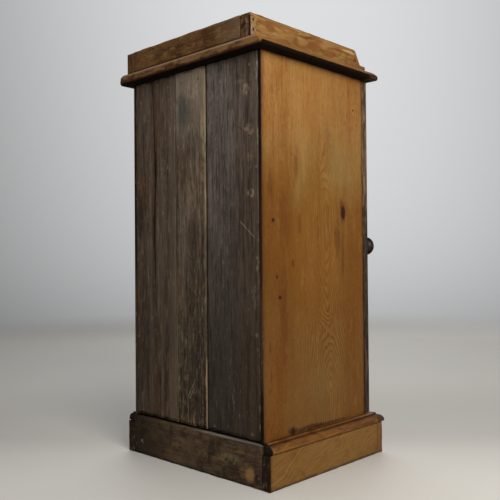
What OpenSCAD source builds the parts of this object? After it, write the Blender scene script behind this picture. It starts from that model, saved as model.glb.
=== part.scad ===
// Bedside pot cupboard in pine: a tall narrow carcass on an applied plinth, with a
// thumb-moulded top, a three-sided gallery, a planked back and one lay-on panelled door.
// Left is -X and right is +X, as seen from the front. The front faces -Y, the back +Y.
// The origin is on the floor, in the middle of the whole object's footprint box.

/* [Carcass] */
// Width over the two side boards
body_w = 358; // [300:1:420]
// Depth of the side boards, front edge to rear edge
carcass_d = 301; // [240:1:360]
// Height of the body seen between the plinth moulding and the top board
body_h = 673; // [600:1:760]
// Thickness of a side board
side_t = 16; // [15:0.5:20]
// Depth of the groove that holds the end of the cupboard's bottom board
housing_d = 5; // [3:0.5:7]
// Thickness of the bottom board
bottom_t = 16; // [12:0.5:20]
// Height of the bottom board's underside over the plinth moulding
bottom_lift = 2; // [1:0.5:10]
// Height of the rails under the top board
rail_h = 44; // [30:1:60]
// Thickness of the rails under the top board
rail_t = 18; // [16:1:24]

/* [Shelf] */
// Height of the shelf's top over the bottom board's top
shelf_rise = 282; // [200:1:295]
// Thickness of the shelf
shelf_t = 14; // [10:0.5:18]
// Distance of the shelf's front edge behind the carcass front
shelf_setback = 24; // [20:1:60]
// Height of a shelf cleat
cleat_h = 22; // [16:1:30]
// Thickness of a shelf cleat
cleat_t = 14; // [12:1:20]
// Distance of a cleat's ends from the shelf's edges
cleat_inset = 12; // [4:1:30]

/* [Back planks] */
// Thickness of a back plank
plank_t = 9.5; // [7:0.5:12]
// Thickness of the side board's lip beside the planks
plank_lip = 6; // [4:0.5:7]
// Width of the left plank
plank_left_w = 132.5; // [100:0.5:150]
// Width of the middle plank
plank_middle_w = 85; // [70:0.5:100]
// Open joint between two planks
plank_gap = 1.2; // [0.4:0.1:2.5]
// Open joint between a plank and the side board's lip
plank_edge_gap = 1.4; // [0.4:0.1:2]
// Space between a plank's upper end and the top board
plank_top_gap = 0.5; // [0.2:0.1:2]

/* [Top board] */
// Thickness of the top board
top_t = 19; // [16:0.5:24]
// How far the top stands out past a side board
top_side_over = 22; // [18:0.5:28]
// How far the top stands out past the door's face
top_front_over = 12; // [6:0.5:20]
// How far the top stands out past the rear edges of the sides
top_back_over = 21.5; // [10:0.5:30]
// Width of the thumb moulding on the top's edges
thumb_w = 17; // [12:0.5:22]
// Height of the thumb moulding's tip over the underside
thumb_tip = 7; // [5:0.5:9]
// Rounding under the thumb moulding's tip
thumb_under = 4.5; // [2:0.5:5]
// Fullness of the thumb moulding: 1 is a bevel, 2 a true quarter round
thumb_full = 1.4; // [1.1:0.1:2]
// Rounding of the lower arris along the back edge
back_arris = 6; // [2:0.5:9]
// Rounding of the two rear corners, in plan
rear_corner = 7; // [3:0.5:12]

/* [Gallery] */
// Height of the gallery over the top board
gallery_h = 41; // [30:1:60]
// Thickness of the gallery's side boards
gallery_side_t = 24; // [18:0.5:28]
// Thickness of the gallery's back board
gallery_back_t = 16; // [12:0.5:20]
// Distance of the gallery's outer faces inside the body's side faces
gallery_inset = 4; // [2:0.5:8]
// Distance of the high part's front end behind the door's face
gallery_slope_top = 32; // [25:1:60]
// Distance of the slope's foot behind the door's face
gallery_slope_foot = 15; // [8:1:20]
// Height of the low nib at the gallery's front end
gallery_nib_h = 13; // [9:0.5:16]
// How far the low nib reaches past the door's face
gallery_nib_over = 3; // [0:0.5:3]
// Rounding of the nib's upper corner
gallery_nib_r = 4; // [2:0.5:6]

/* [Plinth] */
// Height of the plinth's side and front boards
plinth_h = 62; // [45:1:80]
// Thickness of the plinth's side and front boards
plinth_t = 18; // [14:0.5:22]
// Height of the plinth's back board
plinth_back_h = 76; // [60:1:78]
// Thickness of the plinth's back board
plinth_back_t = 18; // [14:0.5:24]
// How far the plinth stands out behind the body
plinth_back_over = 4.5; // [2:0.5:8]
// Height of the moulding on the plinth
mould_h = 18; // [14:0.5:26]
// How far the moulding's nose stands out past the plinth board
mould_over = 3; // [2:0.5:10]
// Radius of the bead along the moulding's upper edge
bead_r = 1.3; // [1:0.1:2.4]
// Side of a three-cornered glue block
block_w = 22; // [15:1:30]
// Length of a glue block
block_l = 60; // [40:1:80]

/* [Door] */
// Thickness of the door's frame
door_t = 16; // [14:0.5:20]
// Space between the closed door and the carcass front
door_gap = 1; // [0.8:0.1:2]
// Space over and under the door
door_clear = 1.5; // [1:0.1:3]
// Width of a door stile
stile_w = 48; // [44:1:60]
// Width of the door's top rail
door_rail_top_w = 56; // [46:1:70]
// Width of the door's bottom rail
door_rail_low_w = 68; // [50:1:90]
// Thickness of a tenon, and the width of the groove for the panel
tenon_t = 5.5; // [5:0.5:6]
// Length of a tenon
tenon_l = 30; // [20:1:36]
// Cheek left at each edge of a tenon
tenon_shoulder = 12; // [9:1:16]
// Depth of the groove for the panel
groove_d = 8; // [6:0.5:8.5]
// Space left for the panel to swell in its groove
panel_play = 1; // [0.5:0.1:2]
// Thickness of the panel's raised field
panel_t = 9; // [7:0.5:9.5]
// Width of the bevel round the panel's raised field
panel_bevel = 20; // [12:1:30]
// Width of the planted bead moulding round the panel
panel_bead_w = 6; // [4:0.5:9]
// Diameter of a peg through a tenon joint
peg_d = 6; // [4:0.5:7]

/* [Hinges] */
// Height of a butt hinge
hinge_h = 54; // [45:1:70]
// Width of a hinge leaf on the wood
leaf_w = 13; // [12:0.5:14]
// Thickness of a hinge leaf
leaf_t = 1.6; // [1.2:0.1:2]
// Radius of a hinge knuckle
knuckle_r = 3.6; // [3.2:0.1:4.4]
// Radius of the hinge pin
pin_r = 1.5; // [1.2:0.1:1.8]
// Space between the knuckle and the wood
hinge_stand = 0.5; // [0.4:0.1:1]
// Distance of a hinge from the end of the door
hinge_end = 70; // [60:1:110]

/* [Knob and turn button] */
// Diameter of the knob
knob_d = 37; // [30:0.5:42]
// How far the knob stands out from the door
knob_l = 38; // [34:0.5:46]
// Distance of the knob's axis from the side board's inner face
knob_inside = 8; // [7.5:0.5:10]
// Height of the knob's axis over the bottom board's top
knob_rise = 320; // [315:1:400]
// Diameter of the knob's shank where it passes the stile
shank_d = 9; // [8:0.5:10]
// Side of the square end of the shank
square_w = 6; // [5:0.25:6.5]
// Reach of the turn button from the knob's axis
button_reach = 15; // [14:0.5:16]
// Width of the turn button's blade
button_w = 10; // [9:0.5:11]
// Thickness of the turn button's blade
button_t = 6; // [5:0.5:7]
// Length of the boss that holds the blade off the door
boss_l = 6; // [5:0.5:8]
// Diameter of the boss
boss_d = 12; // [11:0.5:13]

/* [Fixings] */
// Diameter of a cut nail's shank
nail_d = 2.2; // [1.6:0.1:2.8]
// Diameter of a nail's head
nail_head_d = 5; // [4:0.5:6]
// Thickness of a nail's head
nail_head_t = 1.2; // [0.8:0.1:1.6]
// How deep a nail bites into the wood behind a board
nail_bite = 13; // [10:1:15]
// How deep the nails of the top and the gallery bite
long_bite = 26; // [18:1:32]
// Diameter of a wood screw's shank
screw_d = 2.8; // [2.2:0.1:3.2]
// Diameter of a countersunk screw head
screw_head_d = 5.6; // [5:0.2:6.4]
// Length of a hinge screw
screw_l = 12; // [9:0.5:13]
// How deep the screw through a shelf cleat bites into the side board
screw_bite = 10; // [8:0.5:12]

/* [Fits] */
// Clearance of joined boards
fit = 0.2; // [0.1:0.05:0.3]
// Clearance of a nail, screw or peg in its hole
pilot_fit = 0.05; // [0.02:0.01:0.1]
// Radial clearance of a turning pin or shank
running_fit = 0.08; // [0.03:0.01:0.1]
// Space between faces that turn past each other
turn_gap = 0.4; // [0.3:0.05:0.6]

/* [Hidden] */
$fn = 48;
far = 2000;

pine = "#b98550";
pine_side = "#b07c48";
grey_plank = "#6f6257";
tan_plank = "#857460";
inner_pine = "#a98b63";
dark_wood = "#3a2418";
brass = "#9c8350";
iron = "#4c4845";

// Planes across the depth, from the rear of the top board to the tip of the knob
front_reach = max(knob_l, plinth_t + mould_over, top_front_over);
total_d = top_back_over + carcass_d + door_gap + door_t + front_reach;
y_rear = total_d / 2;
y_back = y_rear - top_back_over;
y_carcass = y_back - carcass_d;
y_door_back = y_carcass - door_gap;
y_door = y_door_back - door_t;
y_plank = y_back - plank_t;
y_front_edge = y_door - top_front_over;

// Planes across the width
x_body = body_w / 2;
x_inner = x_body - side_t;
x_lip = x_body - plank_lip;
x_plinth = x_body + plinth_t;
x_gallery = x_body - gallery_inset;

// Levels
z_mould = plinth_h + mould_h;
z_bottom = z_mould + bottom_lift;
z_floor = z_bottom + bottom_t;
z_shelf = z_floor + shelf_rise;
z_top = z_mould + body_h;
z_deck = z_top + top_t;
z_rail = z_top - rail_h;
z_door = z_mould + door_clear;
z_door_top = z_top - door_clear;
z_knob = z_floor + knob_rise;

// Back planks: left and right edge of each
plank_x0 = -x_lip + plank_edge_gap;
plank_x1 = plank_x0 + plank_left_w;
plank_x2 = plank_x1 + plank_gap;
plank_x3 = plank_x2 + plank_middle_w;
plank_x4 = plank_x3 + plank_gap;
plank_x5 = x_lip - plank_edge_gap;

// Door
tenon_y0 = y_door_back - (door_t + tenon_t) / 2;
tenon_y1 = tenon_y0 + tenon_t;
z_door_rail_low = z_door + door_rail_low_w;
z_door_rail_top = z_door_top - door_rail_top_w;
x_stile = x_body - stile_w;

// Hinges
x_pin = x_body + hinge_stand + knuckle_r;
y_pin = y_carcass - door_gap / 2;
x_leaf = x_body - leaf_w;
z_hinge_low = z_door + hinge_end;
z_hinge_up = z_door_top - hinge_end - hinge_h;
knuckle_count = 3;
screw_cone = (screw_head_d - screw_d) / 2;

// Knob and turn button
x_knob = -x_inner + knob_inside;
y_boss = y_door_back + turn_gap;
y_blade = y_boss + boss_l;
y_blade_back = y_blade + button_t;
blade_heel = 6;
blade_sweep = norm([button_reach, button_w / 2]);
slot_reach = blade_sweep + turn_gap;
slot_sweep = sqrt(pow(slot_reach, 2) - pow(knob_inside, 2));

// Nails and screws: where each one's head lies
edge_in = 14;
plank_nail_in = 19;
plank_nail_l = plank_t + nail_bite;
plinth_back_nail_l = plinth_back_t + nail_bite;
plinth_front_nail_l = plinth_t + nail_bite;
top_nail_l = top_t + long_bite;
gallery_nail_l = gallery_side_t + long_bite;
cleat_screw_l = cleat_t + screw_bite;
plank_rows = [z_bottom + bottom_t / 2, z_top - rail_h / 2];
lip_rows = [for (k = [1:3]) z_mould + k * (body_h - rail_h) / 4];
plank_ends = [[plank_x0, plank_x1], [plank_x2, plank_x3], [plank_x4, plank_x5]];
x_lip_nail = (x_inner + x_lip - plank_edge_gap) / 2;
plank_nail_points = concat(
    [for (e = plank_ends) for (x = [e[0] + plank_nail_in, e[1] - plank_nail_in])
        for (z = plank_rows) [x, y_back, z]],
    [for (s = [-1, 1]) for (z = lip_rows) [s * x_lip_nail, y_back, z]]);
y_plinth_back = y_back + plinth_back_over;
x_side_mid = x_body - side_t / 2;
plinth_back_points = [for (s = [-1, 1]) for (k = [0.25, 0.75])
    [s * x_side_mid, y_plinth_back, k * plinth_back_h]];
plinth_front_points = [for (s = [-1, 1]) for (k = [0.25, 0.75])
    [s * (x_body + plinth_t / 2), y_door - plinth_t, k * plinth_h]];
top_nail_points = [for (s = [-1, 1]) for (k = [0.2, 0.5, 0.8])
    [s * x_side_mid, y_carcass + k * carcass_d, z_deck]];
gallery_nail_points = [for (s = [-1, 1]) for (k = [0.3, 0.7])
    [s * x_gallery, y_rear - gallery_back_t / 2, z_deck + k * gallery_h]];
y_cleat0 = y_carcass + shelf_setback + cleat_inset;
y_cleat1 = y_plank - cleat_inset;
z_cleat_mid = z_shelf - shelf_t - cleat_h / 2;
cleat_ends = [y_cleat0 + edge_in, y_cleat1 - edge_in];
leaf_screw_rows = [for (k = [0.18, 0.5, 0.82]) k * hinge_h];
hinge_levels = [z_hinge_low, z_hinge_up];
x_leaf_mid = x_leaf + leaf_w / 2;
peg_in = tenon_l / 2;
peg_points = [for (s = [-1, 1]) for (z = concat(
    [for (k = [0.3, 0.7]) z_door + tenon_shoulder + k * (door_rail_low_w - 2 * tenon_shoulder)],
    [for (k = [0.3, 0.7]) z_door_rail_top + tenon_shoulder + k * (door_rail_top_w - 2 * tenon_shoulder)]))
    [s * (x_stile + peg_in), y_door, z]];

// Points of an arc of an ellipse, from angle a0 to a1
function arc(cx, cy, rx, ry, a0, a1, n = 8) =
    [for (i = [0:n]) let (a = a0 + (a1 - a0) * i / n) [cx + rx * cos(a), cy + ry * sin(a)]];

// Thumb edge as (distance out from the moulding's inner line, height over the underside):
// a small rounding under the tip and a flattened quarter round above it
thumb_steps = 10;
thumb_edge = concat(
    arc(thumb_w - thumb_under, thumb_under, thumb_under, thumb_under, -90, 0, 5),
    [for (i = [0:thumb_steps]) let (a = 90 * i / thumb_steps)
        [thumb_w * pow(cos(a), 2 / thumb_full),
         thumb_tip + (top_t - thumb_tip) * pow(sin(a), 2 / thumb_full)]]);
function backwards(points) = [for (i = [len(points) - 1:-1:0]) points[i]];

// Plan from the front line y0 to the rear plane, with rounded rear corners
function rear_plan(x, r, y0) = concat(
    [[-x, y0], [x, y0]],
    arc(x - r, y_rear - r, r, r, 0, 90), arc(-x + r, y_rear - r, r, r, 90, 180));

// Plinth moulding as (distance out from the body, height over the plinth board):
// a rounded nose, an ovolo, a quirk and a bead
mould_w = plinth_t + mould_over;
nose_r = 3;
quirk = 0.9;
bead_x = 0.36 * mould_w;
ovolo_w = mould_w - bead_x - bead_r - quirk;
ovolo_h = mould_h - nose_r - 2 * bead_r - quirk;
mould_section = concat(
    [[0, 0]],
    arc(mould_w - nose_r, nose_r, nose_r, nose_r, -90, 0, 5),
    arc(mould_w - ovolo_w, nose_r, ovolo_w, ovolo_h, 8, 90, 9),
    [[bead_x + bead_r - quirk, nose_r + ovolo_h - quirk]],
    arc(bead_x, mould_h - bead_r, bead_r, bead_r, -30, 90, 7),
    [[0, mould_h]]);

module block(lo, hi) translate(lo) cube(hi - lo);
// Outline in (X, Z) drawn out from y0 to y1
module along_y(y0, y1)
    translate([0, y1, 0]) rotate([90, 0, 0]) linear_extrude(height = y1 - y0) children();
// Outline in (Y, Z) drawn out from x0 to x1
module along_x(x0, x1)
    translate([x0, 0, 0]) rotate([90, 0, 90]) linear_extrude(height = x1 - x0) children();
module both_sides() for (s = [0, 1]) mirror([s, 0, 0]) children();

// A cut nail driven along +Z, its head flush with the face at z = 0
module nail(l) {
    cylinder(d = nail_head_d, h = nail_head_t, $fn = 24);
    cylinder(d = nail_d, h = l, $fn = 24);
}
module nail_hole(l) {
    translate([0, 0, -1]) cylinder(d = nail_head_d + 2 * pilot_fit, h = nail_head_t + 1, $fn = 24);
    cylinder(d = nail_d + 2 * pilot_fit, h = l + fit, $fn = 24);
}
slot_w = 0.8;
slot_d = 0.6;
// A slotted countersunk wood screw driven along +Z, its head flush with the face at z = 0
module screw(l) {
    difference() {
        union() {
            cylinder(d1 = screw_head_d, d2 = screw_d, h = screw_cone, $fn = 24);
            cylinder(d = screw_d, h = l, $fn = 24);
        }
        translate([-screw_head_d / 2, -slot_w / 2, -1]) cube([screw_head_d, slot_w, 1 + slot_d]);
    }
}
module screw_hole(l) {
    cylinder(d1 = screw_head_d + 2 * pilot_fit, d2 = screw_d + 2 * pilot_fit, h = screw_cone, $fn = 24);
    cylinder(d = screw_d + 2 * pilot_fit, h = l + fit, $fn = 24);
}
module at_plank_nails() for (p = plank_nail_points) translate(p) rotate([90, 0, 0]) children();
module at_plinth_back_nails() for (p = plinth_back_points) translate(p) rotate([90, 0, 0]) children();
module at_plinth_front_nails() for (p = plinth_front_points) translate(p) rotate([-90, 0, 0]) children();
module at_top_nails() for (p = top_nail_points) translate(p) rotate([180, 0, 0]) children();
module at_gallery_nails() for (p = gallery_nail_points)
    translate(p) rotate([0, p[0] < 0 ? 90 : -90, 0]) children();
module at_cleat_screws() for (s = [-1, 1]) for (y = cleat_ends)
    translate([s * (x_inner - cleat_t), y, z_cleat_mid]) rotate([0, s * 90, 0]) children();
module at_leaf_screws(z0) for (z = leaf_screw_rows) translate([x_leaf_mid, 0, z0 + z]) children();
module at_frame_screws() for (z0 = hinge_levels) at_leaf_screws(z0)
    translate([0, y_carcass, 0]) rotate([-90, 0, 0]) children();
module at_door_screws() for (z0 = hinge_levels) at_leaf_screws(z0)
    translate([0, y_door_back, 0]) rotate([90, 0, 0]) children();
module at_pegs() for (p = peg_points) translate(p) rotate([-90, 0, 0]) children();

// Plain side board at the right: rear rebate for the planks, notch for the plinth's back
// board and housing for the bottom board
module side_blank() difference() {
    block([x_inner, y_carcass, 0], [x_body, y_back, z_top]);
    block([x_inner - 1, y_plank, plinth_back_h], [x_lip, y_back + 1, z_top + 1]);
    block([x_inner - 1, y_plinth_back - plinth_back_t, -1], [x_body + 1, y_back + 1, plinth_back_h + fit]);
    block([x_inner - 1, y_carcass - 1, z_bottom - fit / 2],
          [x_inner + housing_d + fit, y_plank + 1, z_floor + fit / 2]);
}
module side_fixings() {
    at_plank_nails() nail_hole(plank_nail_l);
    at_plinth_back_nails() nail_hole(plinth_back_nail_l);
    at_top_nails() nail_hole(top_nail_l);
    at_cleat_screws() screw_hole(cleat_screw_l);
}
// Slot in the left side's inner face, where the turned blade lies behind the wood
module button_slot() block(
    [x_knob - slot_reach, y_blade - turn_gap, z_knob - slot_sweep],
    [-x_inner + 1, y_blade_back + turn_gap, z_knob + button_w / 2 + turn_gap]);

module side_left() color(pine_side) difference() {
    mirror([1, 0, 0]) side_blank();
    side_fixings();
    button_slot();
}
module side_right() color(pine_side) difference() {
    side_blank();
    side_fixings();
    for (z0 = hinge_levels)
        block([x_leaf - fit, y_carcass - 1, z0 - fit],
              [x_body + 1, y_carcass + leaf_t, z0 + hinge_h + fit]);
    at_frame_screws() screw_hole(screw_l);
}
module bottom_board() color(inner_pine) difference() {
    block([-x_inner - housing_d, y_carcass, z_bottom], [x_inner + housing_d, y_plank, z_floor]);
    at_plank_nails() nail_hole(plank_nail_l);
}
module shelf() color(inner_pine)
    block([-x_inner + fit, y_carcass + shelf_setback, z_shelf - shelf_t],
          [x_inner - fit, y_plank - fit, z_shelf]);
module cleat_blank() block(
    [x_inner - cleat_t, y_cleat0, z_shelf - shelf_t - cleat_h],
    [x_inner, y_cleat1, z_shelf - shelf_t]);
module shelf_cleat_left() color(inner_pine) difference() {
    mirror([1, 0, 0]) cleat_blank();
    at_cleat_screws() screw_hole(cleat_screw_l);
}
module shelf_cleat_right() color(inner_pine) difference() {
    cleat_blank();
    at_cleat_screws() screw_hole(cleat_screw_l);
}
module cleat_screws() color(iron) at_cleat_screws() screw(cleat_screw_l);

module top_rail_front() color(inner_pine)
    block([-x_inner + fit, y_carcass, z_rail], [x_inner - fit, y_carcass + rail_t, z_top]);
module top_rail_back() color(inner_pine) difference() {
    block([-x_inner + fit, y_plank - rail_t, z_rail], [x_inner - fit, y_plank, z_top]);
    at_plank_nails() nail_hole(plank_nail_l);
}

module back_plank(x0, x1) difference() {
    block([x0, y_plank, z_mould], [x1, y_back, z_top - plank_top_gap]);
    at_plank_nails() nail_hole(plank_nail_l);
}
module back_plank_left() color(grey_plank) back_plank(plank_x0, plank_x1);
module back_plank_middle() color(tan_plank) back_plank(plank_x2, plank_x3);
module back_plank_right() color(grey_plank) back_plank(plank_x4, plank_x5);
module plank_nails() color(iron) at_plank_nails() nail(plank_nail_l);

// Rail under the door, as thick as the door, that carries the front plinth board
module plinth_rail() color(inner_pine)
    block([-x_body, y_door, 0], [x_body, y_carcass, z_mould]);
module plinth_side_blank() difference() {
    block([x_body, y_door, 0], [x_plinth, y_plinth_back, plinth_h]);
    at_plinth_front_nails() nail_hole(plinth_front_nail_l);
}
module plinth_left() color(pine_side) mirror([1, 0, 0]) plinth_side_blank();
module plinth_right() color(pine_side) plinth_side_blank();
module plinth_front() color(pine_side) difference() {
    block([-x_plinth, y_door - plinth_t, 0], [x_plinth, y_door, plinth_h]);
    at_plinth_front_nails() nail_hole(plinth_front_nail_l);
}
module plinth_back() color(grey_plank) difference() {
    block([-x_body + fit, y_plinth_back - plinth_back_t, 0],
          [x_body - fit, y_plinth_back, plinth_back_h]);
    at_plinth_back_nails() nail_hole(plinth_back_nail_l);
}
module plinth_nails() color(iron) {
    at_plinth_back_nails() nail(plinth_back_nail_l);
    at_plinth_front_nails() nail(plinth_front_nail_l);
}

// Plan of the right-hand moulding, cut to the mitre line at the front corner
module mitre_plan_side() polygon([
    [x_body, y_door + fit / 2], [x_body, y_back], [x_body + mould_w, y_back],
    [x_body + mould_w, y_door - mould_w + fit / 2]]);
module mitre_plan_front() polygon([
    [-x_body + fit / 2, y_door], [x_body - fit / 2, y_door],
    [x_body + mould_w - fit / 2, y_door - mould_w], [-x_body - mould_w + fit / 2, y_door - mould_w]]);
module plinth_mould_side() intersection() {
    translate([x_body, 0, plinth_h]) along_y(y_door - mould_w, y_back) polygon(mould_section);
    translate([0, 0, plinth_h - 1]) linear_extrude(height = mould_h + 2) mitre_plan_side();
}
module plinth_mould_left() color(pine) mirror([1, 0, 0]) plinth_mould_side();
module plinth_mould_right() color(pine) plinth_mould_side();
module plinth_mould_front() color(pine) intersection() {
    translate([0, y_door, plinth_h]) along_x(-x_body - mould_w, x_body + mould_w)
        mirror([1, 0]) polygon(mould_section);
    translate([0, 0, plinth_h - 1]) linear_extrude(height = mould_h + 2) mitre_plan_front();
}
// Three-cornered blocks glued under the bottom board, against the sides
module glue_blocks() color(inner_pine) both_sides()
    for (y = [y_carcass + block_l / 2, y_plinth_back - plinth_back_t - 1.5 * block_l])
        along_y(y, y + block_l)
            polygon([[x_inner, z_bottom], [x_inner - block_w, z_bottom], [x_inner, z_bottom - block_w]]);

// Top board: the thumb runs along both sides and the front and meets in mitres
x_thumb = x_body + top_side_over - thumb_w;
y_thumb = y_front_edge + thumb_w;
top_across = concat(
    [for (p = thumb_edge) [x_thumb + p[0], p[1]]],
    backwards([for (p = thumb_edge) [-x_thumb - p[0], p[1]]]));
top_along = concat(
    backwards([for (p = thumb_edge) [y_thumb - p[0], p[1]]]),
    arc(y_rear - back_arris, back_arris, back_arris, back_arris, -90, 0),
    [[y_rear, top_t]]);
module top_board() color(pine) difference() {
    intersection() {
        translate([0, 0, z_top]) along_y(y_front_edge - 1, y_rear + 1) polygon(top_across);
        translate([0, 0, z_top]) along_x(-far / 2, far / 2) polygon(top_along);
        linear_extrude(height = z_deck + 1)
            polygon(rear_plan(x_body + top_side_over, rear_corner, y_front_edge));
    }
    at_top_nails() nail_hole(top_nail_l);
}
module top_nails() color(iron) at_top_nails() nail(top_nail_l);

// Gallery side board: a slope and a low nib at its front end
gallery_section = concat(
    [[y_rear, z_deck], [y_rear, z_deck + gallery_h],
     [y_door + gallery_slope_top, z_deck + gallery_h],
     [y_door + gallery_slope_foot, z_deck + gallery_nib_h]],
    arc(y_door - gallery_nib_over + gallery_nib_r, z_deck + gallery_nib_h - gallery_nib_r,
        gallery_nib_r, gallery_nib_r, 90, 180, 6),
    [[y_door - gallery_nib_over, z_deck]]);
module gallery_side_blank() difference() {
    intersection() {
        along_x(x_gallery - gallery_side_t, x_gallery) polygon(gallery_section);
        linear_extrude(height = far) polygon(rear_plan(x_gallery, rear_corner, y_front_edge));
    }
    at_gallery_nails() nail_hole(gallery_nail_l);
}
module gallery_left() color(pine) mirror([1, 0, 0]) gallery_side_blank();
module gallery_right() color(pine) gallery_side_blank();
module gallery_back() color(tan_plank) difference() {
    block([-x_gallery + gallery_side_t + fit / 2, y_rear - gallery_back_t, z_deck],
          [x_gallery - gallery_side_t - fit / 2, y_rear, z_deck + gallery_h]);
    at_gallery_nails() nail_hole(gallery_nail_l);
}
module gallery_nails() color(iron) at_gallery_nails() nail(gallery_nail_l);

// Right-hand door stile: groove for the panel, mortises for both rails and peg holes
module stile_blank() difference() {
    block([x_stile, y_door, z_door], [x_body, y_door_back, z_door_top]);
    block([x_stile - 1, tenon_y0, z_door_rail_low - groove_d],
          [x_stile + groove_d, tenon_y1, z_door_rail_top + groove_d]);
    block([x_stile - 1, tenon_y0, z_door + tenon_shoulder],
          [x_stile + tenon_l + fit, tenon_y1, z_door_rail_low - tenon_shoulder]);
    block([x_stile - 1, tenon_y0, z_door_rail_top + tenon_shoulder],
          [x_stile + tenon_l + fit, tenon_y1, z_door_top - tenon_shoulder]);
    at_pegs() peg_hole();
}
module peg_hole() translate([0, 0, -1]) cylinder(d = peg_d + 2 * pilot_fit, h = door_t + 2, $fn = 24);
module door_stile_knob() color(pine) difference() {
    mirror([1, 0, 0]) stile_blank();
    translate([x_knob, y_door - 1, z_knob]) rotate([-90, 0, 0])
        cylinder(r = shank_d / 2 + running_fit, h = door_t + 2);
}
module door_stile_hinge() color(pine) difference() {
    stile_blank();
    for (z0 = hinge_levels)
        block([x_leaf - fit, y_door_back - leaf_t, z0 - fit],
              [x_body + 1, y_door_back + 1, z0 + hinge_h + fit]);
    at_door_screws() screw_hole(screw_l);
}
// Door rail from z0 to z1, with its tenons; groove_z is the level of its grooved edge
module door_rail(z0, z1, groove_z, groove_top) difference() {
    union() {
        block([-x_stile + fit / 2, y_door, z0], [x_stile - fit / 2, y_door_back, z1]);
        block([-x_stile - tenon_l, tenon_y0 + fit / 2, z0 + tenon_shoulder + fit / 2],
              [x_stile + tenon_l, tenon_y1 - fit / 2, z1 - tenon_shoulder - fit / 2]);
    }
    block([-x_stile - 1, tenon_y0, groove_z], [x_stile + 1, tenon_y1, groove_top]);
    at_pegs() peg_hole();
}
module door_rail_top() color(pine)
    door_rail(z_door_rail_top, z_door_top, z_door_rail_top - 1, z_door_rail_top + groove_d);
module door_rail_bottom() color(pine)
    door_rail(z_door, z_door_rail_low, z_door_rail_low - groove_d, z_door_rail_low + 1);

// Fielded panel: one bevelled section drawn up and one drawn across, crossed to a mitre
panel_tongue = groove_d - panel_play;
panel_y1 = tenon_y1 - fit;
panel_y0 = tenon_y0 + fit;
panel_field_y = panel_y1 - panel_t;
function panel_section(half) = [
    [-half, panel_y1], [half, panel_y1], [half, panel_y0],
    [half - panel_tongue - panel_bead_w, panel_y0],
    [half - panel_tongue - panel_bead_w - panel_bevel, panel_field_y],
    [-half + panel_tongue + panel_bead_w + panel_bevel, panel_field_y],
    [-half + panel_tongue + panel_bead_w, panel_y0], [-half, panel_y0]];
z_panel_mid = (z_door_rail_low + z_door_rail_top) / 2;
panel_half_w = x_stile + panel_tongue;
panel_half_h = (z_door_rail_top - z_door_rail_low) / 2 + panel_tongue;
module door_panel() color(pine) intersection() {
    translate([0, 0, z_panel_mid - panel_half_h]) linear_extrude(height = 2 * panel_half_h)
        polygon(panel_section(panel_half_w));
    translate([0, 0, z_panel_mid]) along_x(-panel_half_w, panel_half_w)
        polygon([for (p = panel_section(panel_half_h)) [p[1], p[0]]]);
}
// Quarter-round beads planted round the panel, each cut to its mitres
bead_half_w = x_stile - fit;
bead_half_h = (z_door_rail_top - z_door_rail_low) / 2 - fit;
bead_depth = min(panel_bead_w, panel_y0 - y_door - fit);
function bead_points(half) = concat(
    [[half, panel_y0 - fit]],
    arc(half, panel_y0 - fit, panel_bead_w, bead_depth, 180, 270, 7));
module mitre_wedge(half_w, half_h) polygon([
    [half_w, half_h - fit / 2], [half_w - panel_bead_w - 1, half_h - panel_bead_w - 1 - fit / 2],
    [half_w - panel_bead_w - 1, -half_h + panel_bead_w + 1 + fit / 2], [half_w, -half_h + fit / 2]]);
module bead_upright() intersection() {
    translate([0, 0, -bead_half_h]) linear_extrude(height = 2 * bead_half_h)
        polygon(bead_points(bead_half_w));
    along_y(y_door - 1, panel_y1) mitre_wedge(bead_half_w, bead_half_h);
}
module bead_across() intersection() {
    along_x(-bead_half_w, bead_half_w) polygon([for (p = bead_points(bead_half_h)) [p[1], p[0]]]);
    along_y(y_door - 1, panel_y1) rotate(90) mirror([0, 1]) mitre_wedge(bead_half_h, bead_half_w);
}
module panel_beads() color(pine) translate([0, 0, z_panel_mid]) {
    both_sides() bead_upright();
    for (s = [0, 1]) mirror([0, 0, s]) bead_across();
}
module door_pegs() color(tan_plank) at_pegs() cylinder(d = peg_d, h = door_t, $fn = 24);

// Hinge: the frame's leaf has the outer knuckles, the door's leaf the middle one
knuckle_l = hinge_h / knuckle_count;
module knuckle(z0, k) translate([x_pin, y_pin, z0 + k * knuckle_l + turn_gap / 2])
    cylinder(r = knuckle_r, h = knuckle_l - turn_gap);
module knuckle_strap(z0, k, y0) block(
    [x_body - 1, y0, z0 + k * knuckle_l + turn_gap / 2],
    [x_pin, y0 + leaf_t, z0 + (k + 1) * knuckle_l - turn_gap / 2]);
module pin_bore(z0) translate([x_pin, y_pin, z0 - 1]) cylinder(r = pin_r + running_fit, h = hinge_h + 2);
module frame_leaf(z0) difference() {
    union() {
        block([x_leaf, y_carcass, z0], [x_body, y_carcass + leaf_t, z0 + hinge_h]);
        for (k = [0, knuckle_count - 1]) {
            knuckle(z0, k);
            knuckle_strap(z0, k, y_carcass);
        }
    }
    pin_bore(z0);
    at_frame_screws() screw_hole(screw_l);
}
module door_leaf(z0) difference() {
    union() {
        block([x_leaf, y_door_back - leaf_t, z0], [x_body, y_door_back, z0 + hinge_h]);
        knuckle(z0, 1);
        knuckle_strap(z0, 1, y_door_back - leaf_t);
    }
    pin_bore(z0);
    at_door_screws() screw_hole(screw_l);
}
pin_head_h = 1.2;
pin_head_over = 0.8;
module hinge_pin(z0) {
    translate([x_pin, y_pin, z0]) cylinder(r = pin_r, h = hinge_h);
    for (z = [z0 - pin_head_h, z0 + hinge_h])
        translate([x_pin, y_pin, z]) cylinder(r = pin_r + pin_head_over, h = pin_head_h);
}
module hinge_upper_frame_leaf() color(brass) frame_leaf(z_hinge_up);
module hinge_upper_door_leaf() color(brass) door_leaf(z_hinge_up);
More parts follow.
